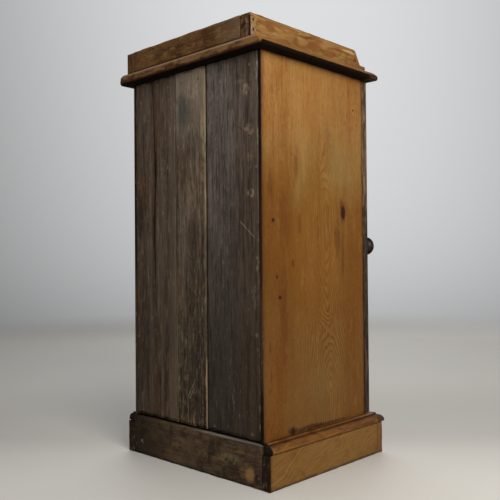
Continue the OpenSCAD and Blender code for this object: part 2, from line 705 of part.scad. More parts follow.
module hinge_upper_pin() color(iron) hinge_pin(z_hinge_up);
module hinge_lower_frame_leaf() color(brass) frame_leaf(z_hinge_low);
module hinge_lower_door_leaf() color(brass) door_leaf(z_hinge_low);
module hinge_lower_pin() color(iron) hinge_pin(z_hinge_low);
module hinge_frame_screws() color(brass) at_frame_screws() screw(screw_l);
module hinge_door_screws() color(brass) at_door_screws() screw(screw_l);

// Knob as (radius, distance out from the door): a foot, a waist, a swelling head and a dome
knob_r = knob_d / 2;
foot_r = 11;
waist_r = 7.5;
foot_l = 3;
waist_l = 10;
rim_l = knob_l * 0.74;
knob_section = concat(
    [[0, turn_gap], [foot_r, turn_gap], [foot_r, foot_l]],
    arc(foot_r, waist_l, foot_r - waist_r, waist_l - foot_l, -90 , -180, 6),
    [for (i = [1:8]) let (t = i / 8)
        [waist_r + (knob_r - waist_r) * (1 - cos(90 * t)), waist_l + (rim_l - waist_l) * sin(90 * t)]],
    arc(0, rim_l, knob_r, knob_l - rim_l, 6, 90, 10));
shank_root = 2;
shank_l = door_t + turn_gap + boss_l + button_t;
module knob() color(dark_wood) translate([x_knob, y_door, z_knob]) {
    difference() {
        union() {
            rotate([90, 0, 0]) rotate_extrude($fn = 64) polygon(knob_section);
            rotate([-90, 0, 0]) translate([0, 0, -shank_root])
                cylinder(d = shank_d, h = shank_root + door_t + turn_gap / 2);
            translate([-square_w / 2, 0, -square_w / 2]) cube([square_w, shank_l, square_w]);
        }
        translate([0, shank_l + 1, 0]) rotate([90, 0, 0])
            cylinder(d = screw_d + 2 * pilot_fit, h = screw_l + 1 + fit, $fn = 24);
    }
}
// Turn button: a boss on the shank's square end and a blade that hangs down when free
module turn_button() color(dark_wood) difference() {
    union() {
        translate([x_knob, y_boss, z_knob]) rotate([-90, 0, 0]) cylinder(d = boss_d, h = boss_l + button_t);
        block([x_knob - button_w / 2, y_blade, z_knob - button_reach],
              [x_knob + button_w / 2, y_blade_back, z_knob + blade_heel]);
    }
    block([x_knob - square_w / 2 - fit / 2, y_boss - 1, z_knob - square_w / 2 - fit / 2],
          [x_knob + square_w / 2 + fit / 2, y_blade_back + 1, z_knob + square_w / 2 + fit / 2]);
}
// Washer and screw that hold the turn button on the shank
washer_t = 1.2;
washer_d = boss_d - 2;
screw_head_h = 1.6;
module turn_button_screw() color(iron) translate([x_knob, y_blade_back, z_knob]) rotate([90, 0, 0]) {
    translate([0, 0, -washer_t]) cylinder(d = washer_d, h = washer_t - fit);
    translate([0, 0, -washer_t - screw_head_h]) cylinder(d = screw_head_d, h = screw_head_h + fit);
    translate([0, 0, -washer_t]) cylinder(d = screw_d, h = screw_l + washer_t, $fn = 24);
}

side_left();
side_right();
bottom_board();
shelf();
shelf_cleat_left();
shelf_cleat_right();
cleat_screws();
top_rail_front();
top_rail_back();
back_plank_left();
back_plank_middle();
back_plank_right();
plank_nails();
plinth_rail();
plinth_left();
plinth_right();
plinth_front();
plinth_back();
plinth_nails();
plinth_mould_left();
plinth_mould_right();
plinth_mould_front();
glue_blocks();
top_board();
top_nails();
gallery_left();
gallery_right();
gallery_back();
gallery_nails();
door_stile_knob();
door_stile_hinge();
door_rail_top();
door_rail_bottom();
door_panel();
panel_beads();
door_pegs();
hinge_upper_frame_leaf();
hinge_upper_door_leaf();
hinge_upper_pin();
hinge_lower_frame_leaf();
hinge_lower_door_leaf();
hinge_lower_pin();
hinge_frame_screws();
hinge_door_screws();
knob();
turn_button();
turn_button_screw();
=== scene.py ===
import math
from types import SimpleNamespace

import bmesh
import bpy
import numpy as np
from mathutils import Matrix, Vector


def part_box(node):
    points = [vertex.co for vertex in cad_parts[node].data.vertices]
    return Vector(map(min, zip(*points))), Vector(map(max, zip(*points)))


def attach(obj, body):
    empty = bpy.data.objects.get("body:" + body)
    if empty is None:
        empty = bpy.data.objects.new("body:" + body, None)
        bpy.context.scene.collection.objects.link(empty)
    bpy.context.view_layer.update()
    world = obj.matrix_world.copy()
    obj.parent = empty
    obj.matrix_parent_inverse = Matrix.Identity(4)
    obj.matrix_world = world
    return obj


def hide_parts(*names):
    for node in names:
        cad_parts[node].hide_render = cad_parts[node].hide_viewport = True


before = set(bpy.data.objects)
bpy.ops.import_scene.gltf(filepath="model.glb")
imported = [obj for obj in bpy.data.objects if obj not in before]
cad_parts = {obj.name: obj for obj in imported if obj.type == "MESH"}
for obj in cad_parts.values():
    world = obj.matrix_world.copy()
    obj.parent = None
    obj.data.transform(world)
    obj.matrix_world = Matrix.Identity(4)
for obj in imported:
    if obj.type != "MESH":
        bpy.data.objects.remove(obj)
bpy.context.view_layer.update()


# ---------------------------------------------------------------- Side boards
# Two wide pine boards, planed, stained and waxed, with the grain upright. Their rear edges are
# rebated for the back planks, and the left one has a slot for the turn button's blade.


class Link:
    """One shader socket, used like a number: maths on it adds Math nodes to its material."""

    def __init__(self, socket):
        self.socket = socket

    def node(self, kind, settings=None, inputs=None, output=0):
        """Adds a node: its settings come first, then the value or link of each socket."""
        tree = self.socket.id_data
        node = tree.nodes.new(kind)
        for key, value in (settings or {}).items():
            setattr(node, key, value)
        for key, value in (inputs or {}).items():
            if isinstance(value, Link):
                tree.links.new(value.socket, node.inputs[key])
            else:
                node.inputs[key].default_value = value
        return Link(node.outputs[output])

    def maths(self, operation, *values):
        return self.node("ShaderNodeMath", {"operation": operation}, dict(enumerate(values)))

    def __add__(self, other):
        return self.maths("ADD", self, other)

    def __sub__(self, other):
        return self.maths("SUBTRACT", self, other)

    def __rsub__(self, other):
        return self.maths("SUBTRACT", other, self)

    def __mul__(self, other):
        return self.maths("MULTIPLY", self, other)

    def __truediv__(self, other):
        return self.maths("DIVIDE", self, other)

    def __rtruediv__(self, other):
        return self.maths("DIVIDE", other, self)

    def __pow__(self, other):
        return self.maths("POWER", self, other)

    def __abs__(self):
        return self.maths("ABSOLUTE", self)

    __radd__ = __add__
    __rmul__ = __mul__

    def most(self, other):
        return self.maths("MAXIMUM", self, other)

    def least(self, other):
        return self.maths("MINIMUM", self, other)

    def sine(self):
        return self.maths("SINE", self)

    def by(self, reach):
        """Noise round 0.5 moved to lie round 0, with so much reach."""
        return (self - 0.5) * reach


def tint(code):
    """A colour as it is seen, "#rrggbb", turned into the linear values that a shader takes."""
    seen = np.array([int(code[i : i + 2], 16) for i in (1, 3, 5)]) / 255
    return (*np.where(seen < 0.04045, seen / 12.92, ((seen + 0.055) / 1.055) ** 2.4).tolist(), 1.0)


def rise(value, low, high):
    """0 below low, 1 above high and a smooth S between them."""
    inputs = {"Value": value, "From Min": low, "From Max": high}
    return value.node("ShaderNodeMapRange", {"interpolation_type": "SMOOTHSTEP"}, inputs)


def fall(value, low, high):
    """1 below low, 0 above high and a smooth S between them."""
    return 1.0 - rise(value, low, high)


def turn_to(colour, other, share):
    """Colour that turns into the other as share goes from 0 to 1. Each is a link or a code."""
    colour, other = [tint(c) if isinstance(c, str) else c for c in (colour, other)]
    return share.node("ShaderNodeMix", {"data_type": "RGBA"}, {0: share, 6: colour, 7: other}, 2)


def layers(wood, *rows):
    """Lays (colour, share) rows on the wood one after another: share is 0 where it stays."""
    for code, share in rows:
        wood.colour = turn_to(wood.colour, code, share)


def noise(where, waves, detail=3.0, roughness=0.55, shift=0.0):
    """Noise round 0.5 with so many waves a metre: (X, Y, Z), or (level, upright)."""
    waves = waves if len(waves) == 3 else (waves[0], *waves)
    spot = where.node("ShaderNodeVectorMath", {"operation": "MULTIPLY_ADD"},
                      {0: where, 1: waves, 2: (shift, 1.7 * shift, -shift)})
    return where.node("ShaderNodeTexNoise", None,
                      {"Vector": spot, "Scale": 1.0, "Detail": detail, "Roughness": roughness})


def patch(wood, waves, low, high, seed=0, detail=5, roughness=0.7):
    """Patches: 1 where noise with so many waves is above high, 0 where it is below low."""
    return rise(noise(wood.here, waves, detail, roughness, seed), low, high)


def fresh(name):
    """A new material and the place in its object, as one vector and as X, Y and Z."""
    material = bpy.data.materials.new(name)
    material.use_nodes = True
    here = Link(material.node_tree.nodes.new("ShaderNodeTexCoord").outputs["Object"])
    parts = here.node("ShaderNodeSeparateXYZ", None, {0: here}).socket.node.outputs
    return material, here, [Link(part) for part in parts]


def late_wood(phase, start, full, sharp):
    """Each whole number of phase is a ring: it darkens slowly from start and ends at sharp."""
    turn = phase.maths("FRACT", phase)
    return rise(turn, start, full) * fall(turn, sharp, 1)


def timber(name, box, grain, heart, ring, tones, seed, knots=(), sway=0.012, wobble=0.004,
           tilt=0.0, bow=(0.0, 0.0), swirl=(0.0, 5.0, 8.0), figure=0.5, streaks=0.5, fine=0.25,
           gloss=0.5):
    """The wood of one board, worked out from where a point lay in the tree.

    Year rings are the distance from the heart, a line along the grain that leans by tilt and
    bows away from a place by bow times the distance squared, over the ring width. Slow and
    quick noise bend them, swirl (depth, waves across, waves along) closes them to ovals, and
    each knot (place across, place along, width, length) swells them. A ring darkens slowly into
    late wood and ends sharply. Long thin noise of four widths, on a grid that drifts sideways,
    gives bands, streaks, fibres and pores; wide noise turns the pale tone into the warm one.
    """
    material, here, place = fresh(name)
    sides = [i for i in range(3) if i != grain]
    u, v = [place[i] for i in sides]
    w = place[grain]
    mid = (box[0][grain] + box[1][grain]) / 2
    half = (box[1][grain] - box[0][grain]) / 2

    def waves(across, along):
        return tuple(along if i == grain else across for i in range(3))

    slow = noise(here, waves(2.6, 1.3), 2, 0.5, seed)
    quick = noise(here, waves(16, 4), 4, 0.6, seed + 3.1)
    lean = (w - mid) * tilt + (w - bow[1]) * (w - bow[1]) * bow[0]
    du, dv = u - heart[0] - lean, v - heart[1] - (w - mid) * (tilt * 0.4)
    reach = (du * du + dv * dv) ** 0.5 + slow.by(sway) + quick.by(wobble)
    if swirl[0]:
        reach = reach + noise(here, waves(*swirl[1:]), 2.5, 0.5, seed + 4.7).by(swirl[0])
    face = v if box[1][sides[1]] - box[0][sides[1]] > 0.05 else u
    ragged = noise(here, waves(150, 70), 3, 0.6, seed + 2.2)
    eyes = []
    for across, along, width, length in knots:
        off, up = (face - across) / width, (w - along) / length
        away = off * off + up * up + ragged.by(1.6)
        reach = reach - (width * 1.3) / (1.4 + away)
        eyes.append(away)
    phase = reach / ring
    year = here.node("ShaderNodeTexNoise", {"noise_dimensions": "1D"},
                     {"W": phase * 0.37, "Detail": 2.0})
    patchy = noise(here, waves(11, 5), 3, 0.6, seed + 8.8)
    late = late_wood(phase, 0.2, 0.85, 0.9) * (year * 1.3) * (0.35 + rise(patchy, 0.35, 0.65))
    drift = noise(here, waves(5, 3.5), 2, 0.5, seed + 4.4)
    bent = here.node("ShaderNodeVectorMath", {"operation": "ADD"}, {0: here, 1: drift.by(0.02)})
    broad = noise(bent, waves(24, 1.1), 4, 0.6, seed + 9)
    streak = noise(bent, waves(75, 3), 6, 0.74, seed + 7.7)
    fibre = noise(bent, waves(340, 16), 3, 0.65, seed + 1.3)
    pore = rise(noise(bent, waves(560, 60), 2, 0.5, seed + 6.1), 0.6, 0.7)
    cloud = noise(here, waves(8, 2.6), 5, 0.66, seed + 5.9)
    ends = rise(abs(w - mid), half - 0.0009, half - 0.0003)
    pale, warm, dark = tones
    wood = SimpleNamespace(
        material=material, here=here, x=place[0], y=place[1], z=place[2], streak=streak,
        broad=broad, cloud=cloud, quick=quick, fibre=fibre, ragged=ragged, patchy=patchy,
        eyes=eyes, colour=turn_to(pale, warm, rise(cloud, 0.38, 0.62)),
        rough=gloss + streak.by(0.22) + ends * 0.25 + cloud.by(0.12),
        height=late * 0.35 + fibre * 0.5 + streak * 0.5 - pore * 0.3)
    layers(wood, (dark, rise(broad, 0.5, 0.72) * (streaks * 0.6)),
           (pale, fall(broad, 0.3, 0.47) * (streaks * 0.7)), (dark, late * figure),
           (dark, rise(streak, 0.49, 0.68) * streaks),
           (pale, fall(streak, 0.33, 0.47) * (streaks * 0.7)),
           (dark, rise(fibre, 0.5, 0.68) * fine), (pale, fall(fibre, 0.33, 0.48) * (fine * 0.6)),
           (dark, pore * (fine * 1.4)), (dark, ends * (0.45 + late * 0.4)))
    return wood


def arris(wood, box, width, uneven=0.6):
    """1 on the arrises of a box and 0 past width: of a point's three distances to the box's
    faces the middle one is its distance to the nearest arris, which noise makes uneven."""
    a, b, c = [(hi - lo) / 2 - abs(p - (hi + lo) / 2)
               for p, lo, hi in zip((wood.x, wood.y, wood.z), box[0], box[1])]
    middle = a.least(b).most(a.most(b).least(c))
    rub = noise(wood.here, (38, 38, 38), 4, 0.65, 2)
    return fall(middle + rub.by(width) * uneven * 2.0, 0, width)


def spot(wood, across, place, height, width, length, uneven=0.5, soft=0.05, up=None):
    """1 in the middle of an oval patch and 0 outside it, with a ragged edge that starts at
    soft; across is the field that place is measured in, up stands in for the height."""
    off = (across - place) / width
    high = ((up or wood.z) - height) / length
    return fall(off * off + high * high + (wood.ragged - 0.5) * uneven * 5.0, soft, 1.3)


def spots(wood, across, rows, **edge):
    """Stains oval patches: (place, height, width, length, colour, share) each."""
    layers(wood, *[(row[4], spot(wood, across, *row[:4], **edge) * row[5]) for row in rows])


def polish(wood, bump=0.0004, strength=0.5, specular=0.12):
    """Draws the knots over what lies on the wood and links its fields to its shader."""
    for away in getattr(wood, "eyes", ()):
        layers(wood, ("#54290f", fall(away, 0.6, 3.4) * 0.5),
               ("#1d0c05", fall(away, 0.35, 1.15) * 0.92))
    tree = wood.material.node_tree
    shader = tree.nodes["Principled BSDF"]
    shader.inputs["Specular IOR Level"].default_value = specular
    raised = wood.here.node("ShaderNodeBump", None,
                            {"Strength": strength, "Distance": bump, "Height": wood.height})
    for name, field in (("Base Color", wood.colour), ("Roughness", wood.rough), ("Normal", raised)):
        tree.links.new(field.socket, shader.inputs[name])
    return wood.material


def settle(name, mesh, material, body, slot, *replaced):
    """A finished mesh as a piece that rides on its body and stands for its CAD nodes. Its slot,
    the name of its finish, is not used."""
    mesh.materials.append(material)
    piece = bpy.data.objects.new(name, mesh)
    bpy.context.scene.collection.objects.link(piece)
    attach(piece, body)
    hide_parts(*replaced)
    return piece


def eased(node, body, slot, material, width=0.0008):
    """A board with the CAD node's own shape, merged, and every arris rounded by a bevel."""
    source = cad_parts[node].data
    points = np.empty(len(source.vertices) * 3, np.float32)
    source.vertices.foreach_get("co", points)
    corners = np.empty(len(source.loops), np.int32)
    source.loops.foreach_get("vertex_index", corners)
    mesh = bpy.data.meshes.new(node + "_wood")
    mesh.from_pydata(points.reshape(-1, 3), [], corners.reshape(-1, 3).tolist())
    shell = bmesh.new()
    shell.from_mesh(mesh)
    bmesh.ops.remove_doubles(shell, verts=shell.verts, dist=2e-6)
    bmesh.ops.dissolve_limit(shell, angle_limit=math.radians(0.6), verts=shell.verts,
                             edges=shell.edges)
    shell.to_mesh(mesh)
    shell.free()
    mesh.polygons.foreach_set("use_smooth", np.ones(len(mesh.polygons), bool))
    bevel = settle(node + "_wood", mesh, material, body, slot, node).modifiers.new("eased", "BEVEL")
    bevel.width = width
    bevel.segments = 2
    bevel.limit_method = "ANGLE"
    bevel.angle_limit = math.radians(35)
    bevel.use_clamp_overlap = False
    bevel.harden_normals = True


WAXED = ("#9c6f37", "#8c5823", "#5a330e")


def waxed_side(wood, box):
    """Old wax and dirt on a side: olive and amber clouds, brown flecks, dark edges at the door
    and the back, and a rear lip that is nearly black. It is darker below the middle and paler
    towards the top, partly stain and partly painted shade and light for the light falling off
    down the side, and a painted shadow darkens it under the top."""
    front, back = box[0].y, box[1].y
    y, z, broad, cloud, patchy = wood.y, wood.z, wood.broad, wood.cloud, wood.patchy
    upper = rise(z, 0.45, 0.7)
    grime = noise(wood.here, (230, 130), 4, 0.72, 19)
    rubs = patch(wood, (12, 150), 0.56, 0.68, 20, 4)
    rough_y = y + wood.ragged.by(0.005)
    behind = rise(y, back - 0.0012, back - 0.0006)
    flakes = patch(wood, (260, 90), 0.6, 0.68, 15, 4)
    layers(wood, ("#9b7e45", rise(patchy + broad.by(1.2), 0.45, 0.72) * 0.4),
           ("#86490d", rise(cloud + wood.streak.by(0.6), 0.47, 0.72) * 0.4),
           ("#6d3e0e", patch(wood, (30, 0.7), 0.46, 0.66, 17, 3, 0.55) * 0.35),
           # Darker and warmer below the middle: partly stain, partly painted shade for the light
           # falling off down the side.
           ("#4d2a07", fall(z + cloud.by(0.25), 0.36, 0.72) * 0.6),
           ("#784907", fall(z, 0.5, 0.62) * (0.15 + rise(z, 0.2, 0.4) * 0.38)),
           ("#4c240a", patch(wood, (190, 75), 0.57, 0.66, 12) * 0.4),
           ("#5c3410", patch(wood, (260, 22), 0.5, 0.66, 18, 5, 0.75) * 0.24),
           # Paler towards the top: partly the wood's tone, partly painted light for the light
           # falling off down the side.
           ("#b88558", rise(z, 0.5, 0.72) * (0.05 + rise(broad, 0.4, 0.6) * 0.09)),
           ("#613811", patch(wood, (30, 12), 0.52, 0.68, 13) * 0.3),
           ("#a07c42", patch(wood, (34, 10), 0.54, 0.68, 14) * 0.18),
           ("#b08a4e", patch(wood, (300, 130), 0.58, 0.7, 16) * 0.22),
           ("#552f0f", rise(grime, 0.5, 0.63) * (0.1 + upper * 0.08)),
           ("#a87d42", fall(grime, 0.37, 0.48) * (0.05 + upper * 0.1)),
           ("#5e360f", rubs * rise(patchy, 0.45, 0.6) * 0.2),
           ("#452608", fall(rough_y, front + 0.003, front + 0.01) * 0.35),
           ("#1a0a03", fall(rough_y, front + 0.0015, front + 0.004) * 0.85),
           ("#4a2a0d", rise(rough_y, back - 0.012, back - 0.001) * 0.55),
           ("#160a04", rise(rough_y, back - 0.003, back) * 0.8),
           # Painted shadow under the top board's overhang, along the side's top.
           ("#23110a", rise(z + wood.ragged.by(0.006), 0.7475, 0.7525) * 0.75),
           ("#0b0502", behind * 0.97),
           ("#4a3826", behind * fall(z, 0.3, 0.42) * rise(patchy, 0.4, 0.55) * 0.7),
           ("#8c7c68", behind * flakes * rise(patchy, 0.45, 0.65) * 0.8))


def flat_sawn(wood):
    """The left side's figure and clouds, by place: ovals round z 0.42 over a wide arch, its top
    at z 0.25. The phase counts rings: outwards from the axis as a hyperbola and up or down along
    it as S curves, and in the arch as ellipses round z 0.14, with straight legs under it."""
    y, z, cloud, patchy, streak = wood.y, wood.z, wood.cloud, wood.patchy, wood.streak
    axis = y + 0.012 + fall(z, 0.18, 0.34) * 0.008 + wood.quick.by(0.01)
    outwards = (axis * axis + 0.0003) ** 0.5 / 0.0044
    upwards = rise(z, 0.285, 0.44) * 6 - rise(z, 0.46, 0.62) * 5
    over = (z - 0.14).most(0) / 0.016
    arch = (axis * axis / 0.00003 + over * over) ** 0.5
    arched = fall(z, 0.25, 0.295)
    phase = (outwards - upwards) * (1.0 - arched) + arch * arched
    calm = 0.5 + rise(z, 0.24, 0.34) * 0.5
    bends = noise(wood.here, (45, 16), 3, 0.6, 7)
    bent = phase + (wood.quick.by(3.4) + patchy.by(3.6)) * calm + bends.by(1.8)
    rings = late_wood(bent, 0.4, 0.88, 0.92)
    clear = 0.3 + fall(z, 0.55, 0.66) * 0.7
    within = fall(abs(axis), 0.03, 0.09) * rise(bends + streak.by(0.6), 0.3, 0.6)
    olive = rise(z + patchy.by(0.2), 0.47, 0.56) * fall(z + cloud.by(0.2), 0.56, 0.68)
    middle = spot(wood, y + patchy.by(0.08), 0, 0.42, 0.075, 0.15, 0.2, up=z + cloud.by(0.1))
    nearer = rise(y + cloud.by(0.1), 0.05, 0.15) * fall(z, 0.45, 0.62) * rise(z, 0.15, 0.35)
    layers(wood, ("#452305", rings * within * clear * 0.5),
           ("#a07a3c", (1.0 - rings) * within * clear * 0.16),
           ("#a8793f", rise(z, 0.5, 0.7) * fall(abs(y + cloud.by(0.3)), 0.02, 0.1) * 0.26),
           ("#95814c", olive * rise(patchy + streak.by(0.5) - y * 1.2, 0.38, 0.66) * 0.34),
           ("#9e6e30", middle * (0.06 + rise(streak, 0.4, 0.6) * 0.14)),
           ("#4e2908", nearer * 0.35),
           ("#857a4a", fall(z, 0.16, 0.32) * fall(abs(y - 0.03), 0.03, 0.1) * 0.12))
    spots(wood, y, [(-0.088, 0.53, 0.014, 0.05, "#958656", 0.16),
                    (0.148, 0.24, 0.003, 0.012, "#57270d", 0.6),
                    (0.146, 0.19, 0.0025, 0.015, "#57270d", 0.55),
                    (0.149, 0.165, 0.002, 0.006, "#3a1a08", 0.6),
                    (-0.06, 0.50, 0.006, 0.012, "#5a2c0c", 0.6),
                    (-0.048, 0.43, 0.011, 0.04, "#4a280b", 0.5),
                    (-0.064, 0.40, 0.005, 0.05, "#4d2406", 0.45),
                    (0.086, 0.385, 0.004, 0.009, "#3f1a07", 0.65),
                    (0.066, 0.455, 0.006, 0.02, "#5a2d0e", 0.5),
                    (0.108, 0.46, 0.018, 0.06, "#5a3010", 0.36),
                    (0.112, 0.29, 0.013, 0.10, "#4f2709", 0.42),
                    (-0.02, 0.60, 0.014, 0.05, "#6f4317", 0.35),
                    (0.075, 0.56, 0.008, 0.03, "#5d3210", 0.45),
                    (0.01, 0.16, 0.05, 0.04, "#7d683f", 0.14),
                    (0.145, 0.52, 0.008, 0.03, "#4f290c", 0.45),
                    (0.0909, 0.0855, 0.013, 0.0085, "#1a0a03", 0.92),
                    (0.045, 0.084, 0.05, 0.006, "#32160a", 0.75),
                    (-0.02, 0.083, 0.06, 0.003, "#3a1c0c", 0.7)])


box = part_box("side_left")
wood = timber("pine_side_left", box, 2, (-0.30, 0.0), 0.0023, WAXED, 3,
              [(-0.0663, 0.482, 0.0075, 0.0150), (0.1382, 0.4601, 0.0038, 0.0038),
               (0.1216, 0.3244, 0.0034, 0.0032), (0.1293, 0.361, 0.0022, 0.004),
               (-0.102, 0.687, 0.0018, 0.002)],
              sway=0.03, wobble=0.006, tilt=0.012, bow=(0.081, 0.285), swirl=(0.036, 4.5, 6),
              figure=0.3, streaks=0.32, fine=0.5, gloss=0.55)
waxed_side(wood, box)
flat_sawn(wood)
eased("side_left", "carcass", "pine_waxed", polish(wood), 0.0012)

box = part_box("side_right")
wood = timber("pine_side_right", box, 2, (0.29, 0.03), 0.0026, WAXED, 11,
              [(0.055, 0.61, 0.006, 0.011), (-0.04, 0.27, 0.0035, 0.005),
               (0.11, 0.42, 0.003, 0.004)],
              sway=0.035, wobble=0.006, tilt=-0.035, swirl=(0.03, 5, 5), figure=0.5,
              streaks=0.38, fine=0.4, gloss=0.55)
waxed_side(wood, box)
eased("side_right", "carcass", "pine_waxed", polish(wood), 0.0012)


# ------------------------------------------------- Inside boards, shelf and cleats
# Plain pine from the saw and plane, never stained: the bottom board in its housings, the shelf
# loose on two screwed cleats, and the rails that hold the sides together under the top.


def inner(node, grain, heart, seed, knots=()):
    """Bare inner pine, gone brown with age, with a little grime along its arrises."""
    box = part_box(node)
    wood = timber("bare_" + node, box, grain, heart, 0.0036, ("#b3875a", "#9d7246", "#6b4522"),
                  seed, knots, figure=0.5, streaks=0.45, gloss=0.68)
    layers(wood, ("#4a3322", arris(wood, box, 0.006) * 0.45))
    eased(node, "carcass", "pine_inner", polish(wood, 0.0005, 0.6, 0.25), 0.0007)


inner("bottom_board", 0, (0.02, -0.01), 21, [(0.03, 0.06, 0.007, 0.01)])
inner("shelf", 0, (-0.03, 0.31), 22, [(-0.05, -0.07, 0.006, 0.009)])
inner("shelf_cleat_left", 1, (-0.12, 0.33), 23)
inner("shelf_cleat_right", 1, (0.12, 0.40), 24)
inner("top_rail_front", 0, (-0.2, 0.70), 25)
inner("top_rail_back", 0, (0.2, 0.76), 26)


# ---------------------------------------------------------------- Back planks
# Three upright pine planks, rough from the saw, never finished and gone grey. They lie in the
# sides' rebates, nailed; the right one has a shrinkage crack down its upper two thirds.


def ripple(points, size, seed):
    """An uneven field from -1 to 1: the sum of 24 sine waves about size long, each with its own
    direction and phase."""
    rng = np.random.default_rng(seed)
    ways = rng.normal(size=(24, 3))
    ways *= rng.uniform(0.6, 1.6, (24, 1)) * 2 * np.pi / np.linalg.norm(ways, axis=1, keepdims=True)
    turns = points @ (ways / np.broadcast_to(size, 3)).T + rng.uniform(0, 2 * np.pi, 24)
    return np.clip(np.sin(turns).mean(-1) * 3.4, -1, 1)


def near_arris(points, box, width):
    """1 on the arrises of a box, falling off as a bell curve that is width wide."""
    lo, hi = np.array(box[0]), np.array(box[1])
    gaps = np.sort((hi - lo) / 2 - np.abs(points - (hi + lo) / 2), axis=-1)
    return np.exp(-((gaps[..., 1] / width) ** 2))


def quads_of(rings):
    """The faces between rings that follow each other, four corners each."""
    count, around = rings.shape[:2]
    start = np.arange((count - 1) * around).reshape(count - 1, around)
    ahead = np.roll(start, -1, axis=1)
    return np.stack([start, ahead, ahead + around, start + around], -1).reshape(-1, 4).tolist()


def skin(name, rings, material, body, slot, node):
    """Joins rings of points into one closed shell, with a flat face over each end ring."""
    count, around = rings.shape[:2]
    ends = [list(range(around)), list(range((count - 1) * around, count * around))]
    mesh = bpy.data.meshes.new(name)
    mesh.from_pydata(rings.reshape(-1, 3), [], quads_of(rings) + ends)
    shell = bmesh.new()
    shell.from_mesh(mesh)
    bmesh.ops.remove_doubles(shell, verts=shell.verts, dist=3e-6)
    bmesh.ops.recalc_face_normals(shell, faces=shell.faces)
    shell.to_mesh(mesh)
    shell.free()
    sides = np.empty(len(mesh.polygons), np.int32)
    mesh.polygons.foreach_get("loop_total", sides)
    mesh.polygons.foreach_set("use_smooth", sides <= 4)
    settle(name, mesh, material, body, slot, node)


def board(name, node, grain, ease, step, material, slot, worn, close=()):
    """A planed board as rings across its grain.

    The core is the node's box less its rounding. A ring is the core's outline pushed out along
    its normals by the rounding, and at both ends it draws in over a quarter circle. worn(points,
    normals) gives how deep each point is worn away; close adds places along the first axis
    across the grain.
    """
    lo, hi = np.array(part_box(node))
    mid, half = (lo + hi) / 2, (hi - lo) / 2 - ease
    axes = [i for i in range(3) if i != grain]
    more = [np.array(close) - mid[axes[0]], np.array([])]

    def places(reach, extra):
        even = np.linspace(-reach, reach, max(2, round(2 * reach / step)) + 1)
        both = np.concatenate([even, extra, [0.0008 - reach, reach - 0.0008]])
        return np.unique(both[np.abs(both) <= reach])

    core, out = [], []
    bend = np.radians([22.5, 45.0, 67.5])[:, None]
    for k in range(4):
        along = np.array([(1, 0), (0, 1), (-1, 0), (0, -1)][k])
        normal = np.array([(0, -1), (1, 0), (0, 1), (-1, 0)][k])
        steps = places(half[axes[k % 2]], more[k % 2])
        reach, depth = half[axes[k % 2]], half[axes[1 - k % 2]]
        steps = steps if k < 2 else -steps[::-1]
        turned = along * reach + normal * depth
        core += [steps[:, None] * along + normal * depth, np.tile(turned, (3, 1))]
        out += [np.tile(normal, (len(steps), 1)), np.cos(bend) * normal + np.sin(bend) * along]
    core, out = np.concatenate(core), np.concatenate(out)
    lift = np.radians([0, 25, 50, 75])
    reach = half[grain]
    run = np.linspace(-reach, reach, max(2, round(2 * reach / (2 * step))) + 1)
    at = np.concatenate([-reach - ease * np.cos(lift), run, reach + ease * np.cos(lift[::-1])])
    push = np.concatenate([np.sin(lift), np.ones(len(run)), np.sin(lift[::-1])])
    tip = np.concatenate([-np.cos(lift), np.zeros(len(run)), np.cos(lift[::-1])])
    points = np.zeros((len(at), len(core), 3))
    normals = np.zeros_like(points)
    for i, axis in enumerate(axes):
        points[..., axis] = mid[axis] + core[:, i] + ease * push[:, None] * out[:, i]
        normals[..., axis] = push[:, None] * out[:, i]
    points[..., grain] = mid[grain] + at[:, None]
    normals[..., grain] = tip[:, None]
    points -= normals * worn(points, normals)[..., None]
    skin(name, points, material, "carcass", slot, node)


def weathered(name, box, heart, ring, tones, seed, figure, streaks, painted_shade, stains=0.5):
    """Dry pine gone grey: hairlines from the saw, damp stains, pale chips of fibre, no shine,
    and darker towards the foot by the given amount of painted shade, for the light falling off.
    Its lowest few millimetres are painted black as the shadow in the gap above the plinth."""
    wood = timber(name, box, 2, heart, ring, tones, seed, sway=0.03, wobble=0.008, tilt=0.02,
                  swirl=(0.012, 6, 4), figure=figure, streaks=streaks, fine=0.5, gloss=0.88)
    z = wood.z
    hair = noise(wood.here, (150, 9), 7, 0.8, seed + 9)
    dust = patch(wood, (230, 50), 0.56, 0.68, seed + 4, 4)
    worn = patch(wood, (190, 14), 0.5, 0.64, seed + 11, 6, 0.78)
    layers(wood, (tones[2], rise(hair, 0.5, 0.62) * 0.7),
           (tones[0], fall(hair, 0.38, 0.49) * 0.6),
           ("#211a15", patch(wood, (20, 6), 0.5, 0.66, seed + 3) * stains),
           ("#4a3220", patch(wood, (13, 5), 0.52, 0.66, seed + 6) * stains),
           ("#16110d", patch(wood, (150, 70), 0.57, 0.68, seed + 2) * 0.5),
           ("#ab9b86", dust * rise(wood.patchy + (z - 0.5) * 0.15, 0.4, 0.6) * 0.6),
           # Painted shade: darker towards the foot, as the light falls off down the back.
           ("#17110c", fall(z, 0.08, 0.84) * painted_shade),
           ("#8a7a66", worn * fall(z, 0.2, 0.6) * 0.15),
           # Painted shadow in the gap between the plank's foot and the plinth's back board.
           ("#090604", fall(z + wood.ragged.by(0.003), 0.0835, 0.0875) * 0.95))
    wood.height = wood.height + hair * 0.9
    return wood


def scrapes(wood, rows):
    """Torn pale fibre in ovals, (x, z, width, length, colour, share) each, broken into flecks
    by quick noise."""
    flecks = noise(wood.here, (170, 80), 5, 0.75, 3.3)
    for x, z, width, length, code, amount in rows:
        off, up = (wood.x - x) / width, (wood.z - z) / length
        inside = fall(off * off + up * up, 0.15, 1.3)
        layers(wood, (code, rise(flecks + inside * 0.14, 0.56, 0.7) * inside * amount))


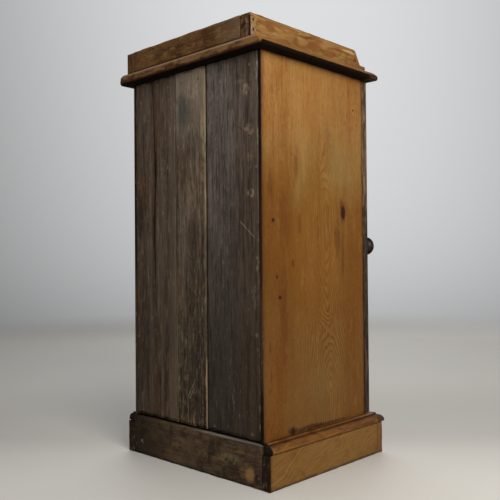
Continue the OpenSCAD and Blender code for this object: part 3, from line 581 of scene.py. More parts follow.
def stroke(wood, start, end, code, width):
    """A scratch from one (x, z) to another, fading at both ends and broken by noise."""
    run = Vector((end[0] - start[0], end[1] - start[1]))
    ahead = run.normalized()
    dx, dz = wood.x - start[0], wood.z - start[1]
    along = dx * ahead.x + dz * ahead.y
    aside = abs(dx * ahead.y - dz * ahead.x + wood.ragged.by(0.002))
    mark = fall(aside, width * 0.4, width * 1.5) * rise(along, 0, 0.008)
    mark = mark * fall(along, run.length - 0.008, run.length) * rise(wood.ragged, 0.3, 0.5)
    layers(wood, (code, mark * 0.75))


def plank(node, wood, bump, strength, seed, extra=None, close=()):
    """A finished plank: arrises rubbed unevenly and a face that the saw left a little hollow
    and full; extra(points, normals) adds wear of its own."""
    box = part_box(node)

    def worn(points, normals):
        uneven = ripple(points, (0.02, 0.02, 0.04), seed)
        edges = near_arris(points, box, 0.0016) * (0.0007 + 0.0006 * uneven)
        hollow = 0.0003 * (1 + ripple(points, (0.04, 0.05, 0.3), seed + 1))
        face = (normals[..., 1] > 0.5) * hollow
        own = extra(points, normals) if extra else 0
        return np.maximum(edges, 0) + face + own

    board(node + "_weathered", node, 2, 0.0011, 0.0032, polish(wood, bump, strength, 0.15),
          "pine_weathered", worn, close)


def joint_wear(points, normals):
    """The left plank's outer face is worn away next to its joint."""
    near = np.exp(-(((points[..., 0] - joint_x) / 0.003) ** 2))
    return near * (normals[..., 1] > 0.3) * 0.0016


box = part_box("back_plank_left")
left_x, joint_x = box[0].x, box[1].x
wood = weathered("plank_left_grey", box, (-0.02, 0.26), 0.0042, ("#81766e", "#6d625a", "#3e362f"),
                 31, 0.25, 0.3, 0.74, 0.3)
browner = fall(wood.x + wood.broad.by(0.06), -0.145, -0.105)
layers(wood, ("#54412f", browner * 0.5), ("#241912", browner * rise(wood.streak, 0.5, 0.6) * 0.5))
scrapes(wood, [(-0.1418, 0.690, 0.015, 0.013, "#a8927a", 0.5),
               (-0.132, 0.707, 0.010, 0.012, "#94816c", 0.4),
               (-0.1506, 0.617, 0.015, 0.016, "#ab937c", 0.45),
               (-0.1542, 0.507, 0.012, 0.009, "#a89474", 0.5),
               (-0.152, 0.565, 0.010, 0.02, "#8b765a", 0.5),
               (-0.1665, 0.377, 0.004, 0.006, "#a3998b", 0.45),
               (-0.1655, 0.262, 0.004, 0.006, "#a3998b", 0.45),
               (-0.160, 0.33, 0.008, 0.03, "#8b7c6c", 0.5)])
stroke(wood, (-0.1245, 0.4615), (-0.165, 0.427), "#9a8c7c", 0.0007)
stroke(wood, (-0.108, 0.636), (-0.155, 0.605), "#2a201a", 0.0009)
joint = rise(wood.x + wood.ragged.by(0.003), joint_x - 0.005, joint_x - 0.001)
edge = fall(wood.x + wood.ragged.by(0.004), left_x + 0.0012, left_x + 0.004)
chips = noise(wood.here, (200, 60), 5, 0.75, 9)
layers(wood, ("#120d0a", joint * 0.9),
       ("#968a7a", edge * rise(chips + wood.patchy.by(0.5), 0.55, 0.66) * 0.7),
       ("#14100d", patch(wood, (120, 26), 0.5, 0.64, 10) * 0.4),
       ("#2a2012", fall(wood.z, 0.15, 0.6) * 0.34),
       ("#8d8378", rise(chips, 0.58, 0.68) * fall(wood.z, 0.12, 0.4) * 0.4))
plank("back_plank_left", wood, 0.0012, 0.8, 1, joint_wear)

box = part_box("back_plank_middle")
wood = weathered("plank_middle_tan", box, (0.012, 0.23), 0.0045, ("#8f7d69", "#6f5f4e", "#34291f"),
                 41, 0.35, 0.5, 0.8)
x, z, patchy, ragged = wood.x, wood.z, wood.patchy, wood.ragged
pale = patch(wood, (130, 40), 0.54, 0.68, 8)
blue = spot(wood, x, 0.027, 0.672, 0.017, 0.036, 0.4) * (0.3 + rise(wood.streak, 0.4, 0.6) * 0.5)
chips = noise(wood.here, (200, 50), 5, 0.75, 9)
wide = fall(x + patchy.by(0.02), box[0].x + 0.006, box[0].x + 0.016) * rise(z, 0.55, 0.62)
low = fall(z + patchy.by(0.1), 0.25, 0.5)
strip = fall(x + ragged.by(0.004), box[0].x + 0.0008, box[0].x + 0.0042)
strip = strip * rise(patchy + wood.quick.by(0.5), 0.42, 0.6) * (0.75 - rise(z, 0.4, 0.6) * 0.3)
other = rise(x + ragged.by(0.005), box[1].x - 0.005, box[1].x - 0.0015) * fall(z, 0.3, 0.5)
layers(wood, ("#84694a", patch(wood, (24, 7), 0.5, 0.68, 2) * 0.25),
       ("#a99a84", pale * (0.12 + rise(z, 0.3, 0.6) * 0.28)),
       # Painted light: paler just under the top board, where the overhang's shadow falls.
       ("#b59c80", rise(z + ragged.by(0.01), 0.72, 0.744) * rise(patchy, 0.3, 0.5) * 0.4),
       ("#5d3c26", patch(wood, (60, 16), 0.56, 0.68, 4) * 0.35),
       ("#9d9080", rise(z + patchy.by(0.2), 0.58, 0.72) * 0.35),
       ("#29221b", spot(wood, x, 0, 0.425, 0.016, 0.05, 0.6) * 0.5),
       ("#34393d", blue),
       ("#50504c", spot(wood, x, 0.02, 0.68, 0.025, 0.035, 0.6) * 0.4),
       ("#a3906a", wide * rise(chips + wood.streak.by(0.4), 0.42, 0.6) * 0.5),
       ("#9c8360", rise(chips + wood.broad.by(0.3), 0.53, 0.66) * low * 0.5),
       ("#191009", fall(chips, 0.36, 0.46) * low * 0.5),
       ("#a28d6a", strip), ("#8f7f60", other * rise(patchy, 0.3, 0.5) * 0.7))
scrapes(wood, [(0, 0.715, 0.028, 0.024, "#b59a80", 0.45), (0.03, 0.73, 0.02, 0.02, "#8c7a68", 0.45),
               (-0.029, 0.645, 0.009, 0.035, "#ad9670", 0.45),
               (-0.03, 0.555, 0.008, 0.03, "#a08a66", 0.45),
               (0, 0.52, 0.02, 0.05, "#8c7960", 0.45)])
torn = fall(z + wood.streak.by(0.06), 0.09, 0.115) * rise(chips + ragged.by(0.3), 0.46, 0.6)
layers(wood, ("#8f7650", torn * rise(wood.fibre, 0.35, 0.6) * 0.65))
stroke(wood, (0.0179, 0.128), (-0.008, 0.171), "#a39379", 0.0008)
stroke(wood, (0.012, 0.128), (-0.004, 0.155), "#a39379", 0.0006)
plank("back_plank_middle", wood, 0.0014, 0.9, 3)

CRACK_X, CRACK_END = 0.1118, 0.30


def crack_at(z, sine):
    """Where the crack runs at height z: its lean, and how far two slow waves bend it."""
    return CRACK_X + (z - 0.45) * 0.014, sine(z * 19) * 0.0024 + sine(z * 43) * 0.0006


def crack_depth(points, normals):
    """A V-shaped groove along the crack, deeper and wider up to 12 cm over its end."""
    centre, bow = crack_at(points[..., 2], np.sin)
    share = np.clip((points[..., 2] - CRACK_END) / 0.12, 0, 1)
    off = (points[..., 0] - centre - bow) / (0.0006 + 0.0007 * share)
    return np.exp(-(off**2)) * 0.0045 * share * (normals[..., 1] > 0.5)


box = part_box("back_plank_right")
wood = weathered("plank_right_brown", box, (0.10, 0.24), 0.004, ("#6c5b4d", "#54463b", "#281f19"),
                 51, 0.35, 0.5, 0.36)
x, z, patchy = wood.x, wood.z, wood.patchy
band = noise(wood.here, (34, 1.5), 3, 0.6, 6)
centre, bow = crack_at(z, Link.sine)
off = x - centre
aside = abs(off - bow + wood.ragged.by(0.005))
shown = rise(z, CRACK_END, CRACK_END + 0.12)
reddish = rise(off, -0.016, -0.008) * fall(off, -0.006, 0) * rise(z, 0.56, 0.66)
near = fall(aside, 0.0006, 0.0032) * shown * rise(patchy + wood.quick.by(0.4), 0.3, 0.5)
layers(wood, ("#5f4025", patch(wood, (22, 5), 0.5, 0.64, 5) * 0.4),
       ("#7b6c5a", rise(band, 0.48, 0.68) * 0.25), ("#33271e", fall(band, 0.34, 0.5) * 0.35),
       ("#8a7863", patch(wood, (110, 30), 0.54, 0.68, 9) * 0.3),
       ("#8f7f6a", fall(x + wood.broad.by(0.03), 0.055, 0.075) * 0.18),
       ("#20211a", spot(wood, x, 0.160, 0.49, 0.010, 0.055, 0.6) * 0.6),
       ("#66402a", reddish * rise(patchy, 0.3, 0.5) * 0.55),
       ("#32200f", fall(aside, 0.001, 0.012) * shown * 0.5), ("#0d0805", near * 0.85))
spots(wood, x, [(CRACK_X - 0.003, 0.578, 0.0055, 0.042, "#0f0905", 0.85),
                (CRACK_X - 0.0005, 0.49, 0.0035, 0.05, "#1a0f08", 0.7)])
plank("back_plank_right", wood, 0.0012, 0.8, 5, crack_depth,
      np.arange(CRACK_X - 0.009, CRACK_X + 0.009, 0.0007))


# -------------------------------------------------------------------- Plinth
# Pine boards nailed round the foot of the carcass: left, right and front stand outside it, the
# back board lies in notches of the sides. Rail and glue blocks inside hold the front one.


def rubbed(box, amount, width, seed):
    """Wear that takes the most off the arrises, in dents about 3 cm long."""
    def worn(points, normals):
        dents = (0.75 + 0.7 * ripple(points, 0.03, seed)).clip(0)
        return near_arris(points, box, width) * amount * dents
    return worn


def plinth_board(node, grain, heart, seed):
    """A plinth board: slanting marks from the saw, dark arrises, a dirty foot. The rear end of a
    side board is nearly black and has lost flakes."""
    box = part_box(node)
    wood = timber("plinth_wood_" + node, box, grain, heart, 0.0046,
                  ("#866131", "#755024", "#41270e"), seed, (), sway=0.03, wobble=0.02, tilt=0.05,
                  swirl=(0.03, 14, 7), figure=0.12, streaks=0.06, fine=0.15, gloss=0.65)
    x, y, z, patchy, ragged = wood.x, wood.y, wood.z, wood.patchy, wood.ragged
    slant = noise(wood.here, (9, 9), 2, 0.5, seed) * 0.09 + (y if grain == 1 else x) * 0.6 + z
    flame = wood.here.node("ShaderNodeTexNoise", {"noise_dimensions": "1D"},
                           {"W": slant * 72, "Detail": 3.5, "Roughness": 0.55})
    layers(wood, ("#583512", rise(flame, 0.46, 0.68) * (0.12 + rise(patchy, 0.3, 0.6) * 0.3)),
           ("#a68346", fall(flame, 0.34, 0.54) * (0.08 + rise(patchy, 0.36, 0.65) * 0.26)),
           ("#4a2c0f", patch(wood, (34, 34), 0.52, 0.66, seed) * 0.22),
           ("#3a200c", patch(wood, (170, 170), 0.6, 0.7, seed + 2) * 0.3),
           ("#2c1708", arris(wood, box, 0.0022) * 0.65),
           ("#2c1a0c", fall(z + ragged.by(0.008), 0, 0.008) * 0.8))
    if grain == 1:
        back, top, out = box[1].y, box[1].z, max(box[1].x, -box[0].x)
        sawn = rise(y + ragged.by(0.002), back - 0.0032, back - 0.0022)
        lost = noise(wood.here, (150, 60), 4, 0.7, 6)
        corner = rise(y, back - 0.003, back - 0.001)
        corner = corner * rise(abs(x) + ragged.by(0.003), out - 0.005, out - 0.002)
        bare_top = rise(z, top - 0.002, top - 0.0005) * rise(y, back - 0.007, back - 0.005)
        layers(wood, ("#2a241e" if node == "plinth_left" else "#3a2d21", sawn * 0.95),
               ("#130c07", sawn * rise(lost, 0.42, 0.55) * 0.8),
               ("#8f887c", sawn * fall(lost, 0.38, 0.44) * 0.8), ("#0d0703", corner * 0.9),
               ("#2c1a0c", rise(y + ragged.by(0.004), back - 0.009, back - 0.001) * 0.6),
               ("#0d0703", bare_top * 0.95))
    else:
        layers(wood, ("#80583a", rise(abs(x), box[1].x - 0.0016, box[1].x - 0.0008) * 0.6),
               ("#5a3a20", patch(wood, (200, 90), 0.52, 0.66, 7) * 0.35))
    board(node + "_rubbed", node, grain, 0.0014, 0.005, polish(wood, 0.0006, 0.6), "pine_waxed",
          rubbed(box, 0.0006, 0.003, int(seed)))


plinth_board("plinth_left", 1, (-0.15, -0.03), 61)
plinth_board("plinth_right", 1, (0.15, 0.09), 62)
plinth_board("plinth_front", 0, (-0.2, 0.1), 63)
inner("plinth_rail", 0, (-0.2, 0.02), 64)
inner("glue_blocks", 1, (0.0, 0.1), 65)

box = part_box("plinth_back")
wood = timber("plinth_back_wood", box, 0, (0.1, 0.09), 0.0042, ("#5d4b38", "#45362a", "#1f1711"),
              71, sway=0.03, wobble=0.012, tilt=0.03, figure=0.3, streaks=0.45, fine=0.4,
              gloss=0.85)
x, z, patchy, ragged = wood.x, wood.z, wood.patchy, wood.ragged
light = rise(z + ragged.by(0.002), box[1].z - 0.0022, box[1].z - 0.0008)
light = light * rise(patchy, 0.38, 0.52) * fall(x, 0.1, 0.16) * (0.45 + rise(x, -0.16, 0) * 0.55)
layers(wood, ("#17110c", patch(wood, (30, 26), 0.47, 0.64, 1) * 0.64),
       ("#7a5c36", patch(wood, (26, 60), 0.52, 0.66, 2) * 0.5),
       ("#4a2a15", patch(wood, (70, 50), 0.55, 0.68, 3) * 0.5),
       ("#8a8072", patch(wood, (220, 160), 0.64, 0.72, 4) * 0.5),
       ("#1a150e", rise(x + patchy.by(0.2), -0.01, 0.16) * 0.72), ("#8f8b86", light * 0.75),
       ("#9a7447", spot(wood, x, -0.1507, 0.0213, 0.013, 0.014, 0.35) * 0.75))
scrapes(wood, [(-0.143, 0.035, 0.02, 0.008, "#7d6040", 0.5),
               (-0.10, 0.04, 0.035, 0.013, "#80704e", 0.5),
               (0.1489, 0.0268, 0.006, 0.007, "#b9ab97", 0.5),
               (0.03, 0.05, 0.03, 0.008, "#6b5840", 0.5),
               (-0.03, 0.035, 0.02, 0.01, "#70603f", 0.5)])
layers(wood, ("#120c08", fall(z + ragged.by(0.006), 0, 0.007) * 0.8))


def worn_plinth_back(points, normals):
    """Rubbed like the other boards, and its right end drawn in by up to 4 mm."""
    rub = rubbed(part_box("plinth_back"), 0.0012, 0.003, 7)(points, normals)
    corner = np.clip((points[..., 0] - 0.165) / 0.0138, 0, 1) ** 2
    return rub + corner * (normals[..., 1] > 0.3) * 0.004


board("plinth_back_rubbed", "plinth_back", 0, 0.0016, 0.005, polish(wood, 0.001, 0.8),
      "pine_weathered", worn_plinth_back)


# ----------------------------------------------------------- Plinth mouldings
# Run with a moulding plane in darker pine: a rounded nose, an ovolo, a quirk and a bead. The
# three lengths are mitred at the front corners and nailed on top of the plinth boards.
mould_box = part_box("plinth_mould_left")
mould_z, mould_h = mould_box[0].z, mould_box[1].z - mould_box[0].z
mould_w = mould_box[1].x - mould_box[0].x
NOSE_R, BEAD_R, QUIRK, GAP = 0.003, 0.0013, 0.0009, 0.0001
body_x, carcass_rear = -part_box("side_left")[0].x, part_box("side_left")[1].y
door_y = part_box("door_stile_knob")[0].y


def sweep_of(cx, cz, rx, rz, start, end, count):
    """Points of an arc of an ellipse, from start to end degrees."""
    angle = np.radians(np.linspace(start, end, count))
    return np.stack([cx + rx * np.cos(angle), cz + rz * np.sin(angle)], -1)


def moulding_section():
    """(out from the body, height over the plinth boards) round the whole section."""
    bead_x = 0.36 * mould_w
    ovolo_w = mould_w - bead_x - BEAD_R - QUIRK
    ovolo_h = mould_h - NOSE_R - 2 * BEAD_R - QUIRK
    return np.concatenate([
        np.linspace((0.0004, 0), (mould_w - NOSE_R, 0), 6)[:-1],
        sweep_of(mould_w - NOSE_R, NOSE_R, NOSE_R, NOSE_R, -90, 0, 8),
        sweep_of(mould_w - ovolo_w, NOSE_R, ovolo_w, ovolo_h, 10, 90, 16),
        [(bead_x + BEAD_R - QUIRK * 0.4, NOSE_R + ovolo_h - QUIRK)],
        sweep_of(bead_x, mould_h - BEAD_R, BEAD_R, BEAD_R, -35, 90, 12),
        [(0.0004, mould_h)]])


def moulding(node, origin, out, along, near, far, near_mitre, seed):
    """Carries the section from near to far along a line; at a mitred end each point stops as
    far past the end as it stands out from the body. The far end is always mitred."""
    section = moulding_section()
    start = near - near_mitre * section[:, 0]
    run = start + (far + section[:, 0] - start) * np.linspace(0, 1, 90)[:, None]
    points = (np.array(origin) + run[..., None] * np.array(along)
              + section[:, :1] * np.array(out) + section[:, 1:] * np.array((0, 0, 1)))
    inward = points.mean(axis=1, keepdims=True) - points
    inward /= np.linalg.norm(inward, axis=-1, keepdims=True)
    points += inward * (0.00035 * (1 + ripple(points, 0.02, seed)))[..., None]
    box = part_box(node)
    foot, top = box[0].z, box[1].z
    wood = timber("moulding_" + node, box, int(np.argmax(np.abs(along))), (-0.15, 0.03), 0.0032,
                  ("#82541d", "#6c3e0f", "#371a06"), 80 + seed, figure=0.45, streaks=0.6,
                  fine=0.35, gloss=0.5)
    front = fall(wood.y + wood.ragged.by(0.006), door_y - 0.002, door_y + 0.004)
    worn_top = rise(wood.z, top - 0.0012, top - 0.0002) * rise(wood.cloud, 0.45, 0.6)
    layers(wood, ("#9c6b2b", patch(wood, (20, 90), 0.52, 0.62, seed) * 0.4),
           ("#4a210b", patch(wood, (26, 70), 0.5, 0.62, seed + 4) * 0.6),
           ("#210e06", fall(abs(wood.z - (top - 2 * BEAD_R - QUIRK)), 0.0002, 0.0016) * 0.8),
           # The first row on the next line is painted shadow along the moulding's lower edge.
           ("#2a140a", fall(wood.z, foot, foot + 0.0016) * 0.7), ("#b08a5c", worn_top * 0.4),
           ("#33241a", front * rise(abs(wood.x), 0.15, 0.185) * 0.75),
           ("#120a06", rise(wood.y, carcass_rear - 0.002, carcass_rear - 0.001) * 0.92))
    skin(node + "_run", points, polish(wood, specular=0.2), "carcass", "pine_waxed", node)


moulding("plinth_mould_left", (-body_x, 0, mould_z), (-1, 0, 0), (0, -1, 0), -carcass_rear,
         -door_y - GAP, 0, 1)
moulding("plinth_mould_right", (body_x, 0, mould_z), (1, 0, 0), (0, -1, 0), -carcass_rear,
         -door_y - GAP, 0, 2)
moulding("plinth_mould_front", (0, door_y, mould_z), (0, -1, 0), (1, 0, 0), GAP - body_x,
         body_x - GAP, 1, 3)


# ----------------------------------------------------------------- Top board
# One pine board with a thumb moulding run along both ends and the front, and a rounded lower
# arris at the back. It is nailed down into the sides; the underside of its overhang and the
# lower part of its rear edge are painted dark as shade.
top_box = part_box("top_board")
top_foot, top_top, top_back = top_box[0].z, top_box[1].z, top_box[1].y
top_t = top_top - top_foot
THUMB_W, THUMB_TIP, THUMB_UNDER, THUMB_FULL = 0.017, 0.007, 0.0045, 1.4
BACK_ARRIS, REAR_CORNER, TIP_ROUND = 0.006, 0.007, 0.0035


def plan_loop(side, rear, count=64):
    """The board's plan drawn in by side on three edges and by rear at the back: the rear corners
    keep what is left of their rounding, and the front tips have a small worn one."""
    x0, x1 = top_box[0].x + side, top_box[1].x - side
    y0, y1 = top_box[0].y + side, top_back - rear
    rx, ry = max(REAR_CORNER - side, 0.0003), max(REAR_CORNER - rear, 0.0003)
    tip = max(TIP_ROUND - 0.4 * side, 0.0004)
    return np.concatenate([np.linspace((x0, y1 - ry), (x0, y0 + tip), count),
                           sweep_of(x0 + tip, y0 + tip, tip, tip, 180, 270, 7)[1:-1],
                           np.linspace((x0 + tip, y0), (x1 - tip, y0), count),
                           sweep_of(x1 - tip, y0 + tip, tip, tip, 270, 360, 7)[1:-1],
                           np.linspace((x1, y0 + tip), (x1, y1 - ry), count),
                           sweep_of(x1 - rx, y1 - ry, rx, ry, 0, 90, 7)[1:-1],
                           np.linspace((x1 - rx, y1), (x0 + rx, y1), count),
                           sweep_of(x0 + rx, y1 - ry, rx, ry, 90, 180, 7)[1:-1]])


def top_rings():
    """Level slices of the board: at each height the thumb moulding says how far the three
    moulded edges are drawn in, and the lower back arris how far the rear is. The nose of the
    moulding and the back are rubbed unevenly."""
    under = np.radians(np.linspace(-90, 0, 7))
    thumb = np.radians(np.linspace(4, 90, 18))
    power = 2 / THUMB_FULL
    heights = np.concatenate([THUMB_UNDER + THUMB_UNDER * np.sin(under), [THUMB_TIP],
                              THUMB_TIP + (top_t - THUMB_TIP) * np.sin(thumb) ** power])
    drawn = np.concatenate([THUMB_UNDER - THUMB_UNDER * np.cos(under), [0.0],
                            THUMB_W - THUMB_W * np.cos(thumb) ** power])
    low = np.clip((BACK_ARRIS - heights) / BACK_ARRIS, 0, 1)
    high = np.clip((heights - top_t + 0.0015) / 0.0015, 0, 1)
    rear = BACK_ARRIS * (1 - np.sqrt(1 - low**2)) + high**2 * 0.0012
    steps = [(0.12, 0.12, 0.0), (0.05, 0.05, 0.0), (0.012, 0.012, 0.0)]
    steps += list(zip(drawn, rear, heights))
    steps += [(THUMB_W + 0.004, 0.004, top_t), (0.05, 0.05, top_t), (0.12, 0.12, top_t)]
    loops = [plan_loop(side, back) for side, back, _ in steps]
    rings = np.stack([np.column_stack([loop, np.full(len(loop), top_foot + height)])
                      for loop, (_, _, height) in zip(loops, steps)])
    nose = np.exp(-(((rings[..., 2] - top_foot - 0.006) / 0.004) ** 2))
    rub = nose * (0.0004 + 0.0004 * ripple(rings, 0.025, 8))
    centre = (np.array(top_box[0]) + np.array(top_box[1])) / 2
    inwards = -np.sign(rings - np.array([0.0, centre[1], centre[2]]))
    rings[..., 0] += inwards[..., 0] * rub * (np.abs(rings[..., 0]) > 0.97 * top_box[1].x)
    moulded_or_rear = (rings[..., 1] < top_box[0].y + 0.01) | (rings[..., 1] > top_back - 0.002)
    rings[..., 1] += inwards[..., 1] * rub * moulded_or_rear
    return rings


wood = timber("pine_top", top_box, 0, (0.02, 0.71), 0.0048, ("#95683a", "#7d5128", "#472811"), 91,
              [(-0.02, 0.05, 0.007, 0.011)], sway=0.03, wobble=0.007, tilt=0.03, figure=0.45,
              streaks=0.5, fine=0.3, gloss=0.6)
x, y, z, ragged = wood.x, wood.y, wood.z, wood.ragged
run = noise(wood.here, (40, 9, 240), 5, 0.66, 5)
tip = rise(abs(x), 0.172, 0.19) * fall(y, top_box[0].y + 0.016, top_box[0].y + 0.036)
rear = rise(y, top_back - 0.0035, top_back - 0.0015)
mottle = noise(wood.here, (30, 60, 90), 6, 0.72, 4)
golden = rear * fall(x + ragged.by(0.02), -0.178, -0.15)
light = rear * rise(z + ragged.by(0.004), top_top - 0.005, top_top - 0.0025)
# Painted shade on the rounded lower arris of the rear edge.
foot = rise(mottle * 0.006 - z, -top_foot - 0.0055, -top_foot - 0.0005)
# Painted shade under the overhang: its underside is nearly black, reaching higher at the rear.
under = fall(z + ragged.by(0.0015) + rear * 0.0055, top_foot + 0.0064, top_foot + 0.0088)
layers(wood, (turn_to("#8c6232", "#73481c", rise(run, 0.4, 0.58)),
              rise(abs(x), 0.178, 0.182) * 0.92),
       (turn_to("#5b4a38", "#241a13", rise(run, 0.42, 0.56)), tip * 0.9),
       (turn_to("#84603e", "#4a2f1a", rise(mottle, 0.44, 0.62)), rear * 0.92),
       ("#8a6232", golden * rise(mottle, 0.3, 0.5) * 0.7),
       ("#3a2312", rear * rise(x + mottle.by(0.02), 0.183, 0.194) * 0.7),
       ("#a98a70", light * rise(wood.patchy, 0.3, 0.5) * 0.65),
       ("#2a170b", rear * rise(z, top_top - 0.0014, top_top - 0.0007) * 0.8),
       # The two rows on the next line paint shade on the lower rear edge and under the overhang.
       ("#2c180b", rear * foot * 0.9), ("#080402", under * (0.98 - tip * 0.6)))
wood.rough = wood.rough + under * 0.4
skin("top_board_moulded", top_rings(), polish(wood, specular=0.08), "carcass", "pine_waxed",
     "top_board")


# ------------------------------------------------------------------- Gallery
# Three upright boards on the top: the sides slope down to a low nib at the front and show their
# end grain behind; the back board stands between them. Nailed through the sides.
SLOPE_TOP, SLOPE_FOOT, NIB_H, NIB_OVER = 0.032, 0.015, 0.013, 0.003


def outline(corners, roundings, step):
    """A closed outline through corners, each rounded by a curve that starts and ends its
    rounding away from it, with points about step apart on the straights."""
    corners = np.array(corners)
    before, after = np.roll(corners, 1, 0) - corners, np.roll(corners, -1, 0) - corners
    before /= np.linalg.norm(before, axis=1, keepdims=True)
    after /= np.linalg.norm(after, axis=1, keepdims=True)
    size = np.array(roundings)[:, None]
    enter, leave = corners + before * size, corners + after * size
    t = np.linspace(0, 1, 7)[:, None]
    legs = []
    for i in range(len(corners)):
        legs.append((1 - t) ** 2 * enter[i] + 2 * t * (1 - t) * corners[i] + t**2 * leave[i])
        goal = enter[(i + 1) % len(corners)]
        count = max(2, round(np.linalg.norm(goal - leave[i]) / step))
        legs.append(np.linspace(leave[i], goal, count + 1)[1:-1])
    return np.concatenate(legs)


def gallery_rings(box, sign, seed, shake):
    """The outline at the foot of the gallery, stacked in slices across the board's thickness:
    the first and last slices draw in along the outline's normals, which rounds the arrises. The
    rear follows the rounded corner of the top, and a shake splits the left board's end."""
    z0, z1, rear = box[0].z, box[1].z, box[1].y
    shape = outline([(rear, z0), (rear, z1), (door_y + SLOPE_TOP, z1),
                     (door_y + SLOPE_FOOT, z0 + NIB_H), (door_y - NIB_OVER, z0 + NIB_H),
                     (door_y - NIB_OVER, z0)],
                    [0.0008, 0.0045, 0.005, 0.002, 0.0035, 0.0008], 0.004)
    tangent = np.roll(shape, -1, 0) - np.roll(shape, 1, 0)
    inward = np.stack([tangent[:, 1], -tangent[:, 0]], -1)
    inward /= np.linalg.norm(inward, axis=1, keepdims=True)
    spread = [((shape + inward * d - shape.mean(0)) ** 2).sum() for d in (0, 1e-4)]
    inward = inward if spread[1] < spread[0] else -inward
    ease = 0.0022
    lift = np.radians([0, 18, 36, 54, 72])
    thick = box[1].x - box[0].x
    between = np.linspace(ease, thick - ease, 44)
    depth = np.concatenate([ease * (1 - np.cos(lift)), between,
                            thick - ease * (1 - np.cos(lift[::-1]))])
    draw = ease * (1 - np.sin(lift))
    draw = np.concatenate([draw, np.zeros(len(between)), draw[::-1]])
    rings = np.zeros((len(depth), len(shape), 3))
    rings[..., 0] = (box[0].x + depth if sign < 0 else box[1].x - depth)[:, None]
    rings[..., 1:] = shape + inward * draw[:, None, None]
    outer = np.clip(REAR_CORNER - depth, 0, None)[:, None]
    round_rear = rear - REAR_CORNER + np.sqrt(REAR_CORNER**2 - outer**2)
    rings[..., 1] = np.minimum(rings[..., 1], round_rear)
    high = rings[..., 2] - z0
    if shake:
        line = 0.0045 + 0.0006 * np.sin(high * 95) + 0.0004 * np.sin(high * 260)
        split = np.exp(-(((depth[:, None] - line) / 0.0026) ** 2))
        split = split * np.clip((z1 - 0.003 - rings[..., 2]) / 0.006, 0, 1)
        rings[..., 1] -= split * 0.005 * (rings[..., 1] > rear - 0.0045)
    edge = np.exp(-(((rings[..., 2] - z1) / 0.004) ** 2))
    rings[..., 2] -= edge * 0.0003 * (1 + ripple(rings, 0.03, seed))
    return rings


def gallery_side(node, sign, seed, shake):
    """A gallery side in flamed pine; shake is whether it is the left one, whose end has split
    and whose stains lie where the photograph shows them."""
    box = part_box(node)
    top, rear = box[1].z, box[1].y
    wood = timber("pine_" + node, box, 1, (sign * 0.187, 0.801), 0.0085,
                  ("#96703f", "#82592b", "#533111"), 100 + seed, sway=0.04, wobble=0.008,
                  tilt=-0.03, swirl=(0.05, 20, 11), figure=0.6, streaks=0.2, fine=0.3, gloss=0.6)
    y, z, ragged, across = wood.y, wood.z, wood.ragged, wood.x * sign
    flat = noise(wood.here, (20, 9, 24), 1.5, 0.45, seed) * 7.0 + wood.quick.by(0.5)
    layers(wood, ("#66390f", late_wood(flat, 0.2, 0.88, 0.92) * 0.5),
           ("#6e441b", patch(wood, (60, 14, 34), 0.52, 0.62, 1) * 0.3),
           ("#b08c58", patch(wood, (60, 15, 90), 0.56, 0.64, 2) * 0.35),
           ("#4c2a10", patch(wood, (220, 120, 220), 0.6, 0.7, 3) * 0.3))
    if shake:
        spots(wood, y, [(0.067, 0.789, 0.008, 0.006, "#6a3a14", 0.35),
                        (0.045, 0.801, 0.014, 0.0026, "#63360f", 0.7),
                        (0.025, 0.804, 0.012, 0.0024, "#63360f", 0.7),
                        (0.012, 0.790, 0.022, 0.009, "#71451b", 0.55),
                        (-0.029, 0.786, 0.026, 0.0055, "#6f3c10", 0.65),
                        (-0.096, 0.8035, 0.02, 0.0028, "#c09a66", 0.7),
                        (-0.075, 0.800, 0.03, 0.0018, "#63360f", 0.6),
                        (-0.11, 0.7895, 0.02, 0.0018, "#63360f", 0.6),
                        (0.137, 0.796, 0.012, 0.007, "#6d3f17", 0.55),
                        (-0.1178, 0.7922, 0.004, 0.005, "#3c1d0c", 0.6)], uneven=0.4, soft=0.8)
    corner = rise(y + ragged.by(0.004), rear - 0.0165, rear - 0.0145) * rise(across, 0.168, 0.1745)
    pale = turn_to("#8d7046", "#8c7058", rise(z + ragged.by(0.02), 0.796, 0.786))
    chipped = patch(wood, (120, 190), 0.5, 0.58, 9)
    end = rise(y, rear - 0.006, rear - 0.0012) * fall(across, 0.1735, 0.1748)
    speckle = noise(wood.here, (190, 120), 6, 0.75, 8)
    end_tone = turn_to("#63482f", "#24170d" if shake else "#3e2918", rise(speckle, 0.42, 0.58))
    near_joint = fall(across + ragged.by(0.001), 0.1512, 0.1526) * end
    layers(wood, ("#4a2f17", rise(z + ragged.by(0.003), top - 0.003, top - 0.001) * 0.65),
           ("#4f3119", fall(y + ragged.by(0.004), door_y + 0.001, door_y + 0.01) * 0.55),
           (pale, corner * 0.75), ("#5a3216", corner * chipped * 0.7),
           (end_tone, end * (0.93 if shake else 0.7)),
           ("#160d08", near_joint * (0.75 if shake else 0.3)))
    if shake:
        dark = rise(across + ragged.by(0.004), 0.1665, 0.1688) * fall(across, 0.1728, 0.1742)
        dark = dark * fall(z + ragged.by(0.01), 0.804, 0.811)
        layers(wood, ("#0d0705", dark * rise(y, rear - 0.012, rear - 0.005) * 0.95))
    skin(node + "_shaped", gallery_rings(box, sign, seed, shake), polish(wood), "carcass",
         "pine_waxed", node)


gallery_side("gallery_left", -1, 9, True)
gallery_side("gallery_right", 1, 10, False)

